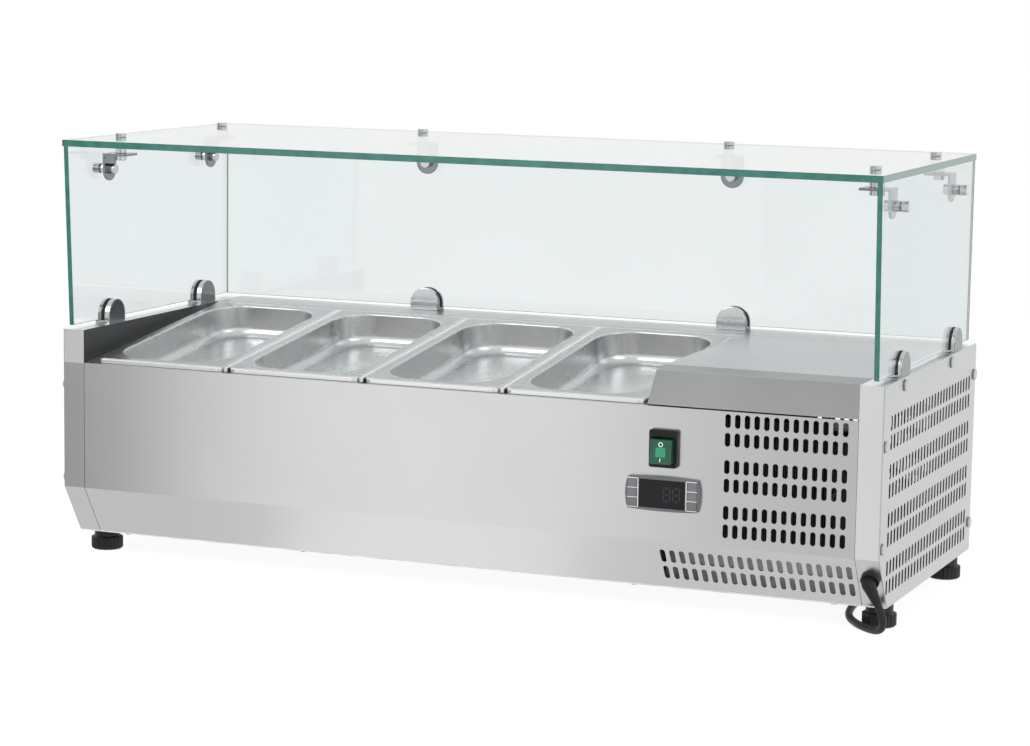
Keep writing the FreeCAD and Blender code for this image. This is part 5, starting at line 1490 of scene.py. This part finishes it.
@dataclass
class Studio:
    """Camera, floor, light and the cards that the steel mirrors."""

    focal_px: float = 3041.7
    frame_px: tuple[int, int] = (1030, 746)
    centre_px: tuple[float, float] = (509.1, 391.1)
    azimuth: float = math.radians(22.16)
    elevation: float = math.radians(8.37)
    roll: float = math.radians(0.89)
    distance: float = 3.751
    aim_depth: float = 0.180
    aim_height: float = 0.223
    sensor: float = 36.0
    white_share: float = 0.85
    floor_glow: float = 1.08
    ambient: float = 0.6
    card_reach: float = 3.0
    card_steps: int = 16
    card_heights: tuple[float, float] = (-2.0, 0.9)
    floor_reach: float = 8.0
    floor_drop: float = 0.3 * MM
    floor_tone: float = 0.9
    view_end: float = 100.0
    lamp_target: Point = (0.0, 0.0, 0.2)
    lamp_size: float = 2.0
    standing_cards: tuple[tuple[str, tuple[float, float], float], ...] = (
        ("left_card", (-75.0, -33.0), 0.33),
        ("right_card", (-14.0, 30.0), 0.62),
    )
    level_cards: tuple[tuple[str, Point, tuple[float, float], float], ...] = (
        ("top_card", (0.0, -1.0, 2.0), (3.4, 0.8), 0.30),
        ("low_left_card", (-1.4, -0.5, -1.0), (1.3, 1.4), 0.70),
        ("low_right_card", (0.5, -0.5, -1.0), (1.5, 1.4), 0.72),
    )
    lamps: tuple[tuple[str, Point, float], ...] = (
        ("key_lamp", (-1.6, -2.4, 2.6), 60.0),
        ("fill_lamp", (2.4, -1.6, 1.8), 25.0),
    )

    def camera(self, front: float) -> None:
        """Set the camera up at the photograph's viewpoint.

        Args:
            front: Where the front face is, in depth.
        """
        ahead = Vector(
            (
                -math.sin(self.azimuth) * math.cos(self.elevation),
                math.cos(self.azimuth) * math.cos(self.elevation),
                -math.sin(self.elevation),
            )
        )
        level = Vector((math.cos(self.azimuth), math.sin(self.azimuth), 0.0))
        upward = level.cross(ahead)
        right = level * math.cos(self.roll) + upward * math.sin(self.roll)
        up = upward * math.cos(self.roll) - level * math.sin(self.roll)
        place = Vector((0.0, front + self.aim_depth, self.aim_height)) - ahead * self.distance
        lens = bpy.data.cameras.new("camera")
        lens.sensor_width = self.sensor
        lens.lens = self.sensor * self.focal_px / self.frame_px[0]
        lens.shift_x = (self.frame_px[0] / 2 - self.centre_px[0]) / self.frame_px[0]
        lens.shift_y = (self.centre_px[1] - self.frame_px[1] / 2) / self.frame_px[0]
        lens.clip_end = self.view_end
        camera = linked("camera", lens)
        turn = Matrix((right, up, -ahead)).transposed().to_4x4()
        camera.matrix_world = Matrix.Translation(place) @ turn
        bpy.context.scene.camera = camera

    def seen_directly(self, tree: Tree) -> Socket:
        """Add nodes that tell rays which show a surface from rays which light others.

        Args:
            tree: The node tree.

        Returns:
            1 for camera, glossy and transmission rays, and otherwise 0.
        """
        path = tree.nodes.new("ShaderNodeLightPath")
        total = path.outputs["Is Camera Ray"]
        for name in ("Is Glossy Ray", "Is Transmission Ray"):
            add = tree.nodes.new("ShaderNodeMath")
            add.use_clamp = True
            tree.links.new(total, add.inputs[0])
            tree.links.new(path.outputs[name], add.inputs[1])
            total = add.outputs["Value"]
        return total

    def world(self) -> None:
        """Make a white backdrop that lights the part at a plain level."""
        world = bpy.data.worlds.new("studio")
        bpy.context.scene.world = world
        tree, output = emptied(world, "ShaderNodeOutputWorld")
        mix = tree.nodes.new("ShaderNodeMixShader")
        tree.links.new(self.seen_directly(tree), mix.inputs["Fac"])
        for index, level in ((1, self.ambient), (2, 1.0)):
            light = tree.nodes.new("ShaderNodeBackground")
            light.inputs["Color"].default_value = (level, level, level, 1.0)
            tree.links.new(light.outputs["Background"], mix.inputs[index])
        tree.links.new(mix.outputs["Shader"], output.inputs["Surface"])

    def floor(self) -> None:
        """Lay a white floor that keeps the part's shadow."""
        shape = bmesh.new()
        bmesh.ops.create_grid(shape, x_segments=1, y_segments=1, size=self.floor_reach)
        moved(shape, Matrix.Translation((0.0, 0.0, -self.floor_drop)))
        floor = linked("floor", meshed("floor", shape))
        white = bpy.data.materials.new("floor_white")
        tree, output = emptied(white, "ShaderNodeOutputMaterial")
        mix = tree.nodes.new("ShaderNodeMixShader")
        share = tree.nodes.new("ShaderNodeMath")
        share.operation = "MULTIPLY"
        share.inputs[1].default_value = self.white_share
        tree.links.new(self.seen_directly(tree), share.inputs[0])
        tree.links.new(share.outputs["Value"], mix.inputs["Fac"])
        matt = tree.nodes.new("ShaderNodeBsdfDiffuse")
        matt.inputs["Color"].default_value = (self.floor_tone, self.floor_tone, self.floor_tone, 1.0)
        glow = tree.nodes.new("ShaderNodeEmission")
        glow.inputs["Strength"].default_value = self.floor_glow
        tree.links.new(matt.outputs["BSDF"], mix.inputs[1])
        tree.links.new(glow.outputs["Emission"], mix.inputs[2])
        tree.links.new(mix.outputs["Shader"], output.inputs["Surface"])
        floor.data.materials.append(white)
        floor.visible_glossy = False

    def standing_card(self, name: str, bearings: tuple[float, float], level: float) -> None:
        """Stand a card round the part that only its mirrors see.

        Args:
            name: The card's name.
            bearings: Where it starts and ends, in degrees to the right of straight in front.
            level: How bright it is.
        """
        start, end = (math.radians(bearing) for bearing in bearings)
        shape = bmesh.new()
        low = [
            shape.verts.new((self.card_reach * math.sin(start), -self.card_reach * math.cos(start), height))
            for height in self.card_heights
        ]
        rail = shape.edges.new(low)
        bmesh.ops.spin(
            shape,
            geom=low + [rail],
            cent=(0.0, 0.0, 0.0),
            axis=(0.0, 0.0, 1.0),
            angle=end - start,
            steps=self.card_steps,
        )
        self.card(name, shape, level)

    def level_card(self, name: str, centre: Point, size: tuple[float, float], level: float) -> None:
        """Lay a level card over or under the part that only its mirrors see.

        Args:
            name: The card's name.
            centre: Its middle.
            size: Its width and depth.
            level: How bright it is.
        """
        shape = bmesh.new()
        bmesh.ops.create_grid(shape, x_segments=1, y_segments=1, size=0.5)
        self.card(name, moved(shape, Matrix.Translation(centre) @ Matrix.Diagonal((*size, 1.0, 1.0))), level)

    def card(self, name: str, shape: Solid, level: float) -> None:
        """Turn a mesh into a card that only mirrors see.

        Args:
            name: The card's name.
            shape: Its mesh, which is freed.
            level: How bright it is.
        """
        card = linked(name, meshed(name, shape))
        grey = bpy.data.materials.new(name)
        tree, output = emptied(grey, "ShaderNodeOutputMaterial")
        glow = tree.nodes.new("ShaderNodeEmission")
        glow.inputs["Color"].default_value = (level, level, level, 1.0)
        tree.links.new(glow.outputs["Emission"], output.inputs["Surface"])
        card.data.materials.append(grey)
        card.visible_camera = False
        card.visible_diffuse = False
        card.visible_transmission = False
        card.visible_shadow = False

    def lamp(self, name: str, place: Point, power: float) -> None:
        """Hang a soft lamp that points at the part.

        Args:
            name: The lamp's name.
            place: Where it hangs.
            power: Its power in watts.
        """
        light = bpy.data.lights.new(name, "AREA")
        light.size = self.lamp_size
        light.energy = power
        lamp = linked(name, light)
        away = Vector(place) - Vector(self.lamp_target)
        lamp.matrix_world = Matrix.Translation(place) @ aim(away)
        lamp.visible_glossy = False

    def build(self) -> None:
        """Set the stage."""
        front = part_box("front_panel")[0].y
        self.camera(front)
        self.world()
        self.floor()
        for standing in self.standing_cards:
            self.standing_card(*standing)
        for level in self.level_cards:
            self.level_card(*level)
        for lamp in self.lamps:
            self.lamp(*lamp)
        bpy.context.scene.view_settings.view_transform = "Standard"


def main() -> None:
    """Load the frame and build the part and its stage."""
    logging.basicConfig(level=logging.INFO, format="%(name)s: %(message)s")
    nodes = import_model()["nodes"]
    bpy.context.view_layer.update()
    for assembly in (Casing, PanRow, GlassGuard, Controls, Feet, CoolingUnit, MainsLead):
        assembly(nodes).build()
    Studio().build()
    bpy.context.view_layer.update()


if __name__ == "__main__":
    main()
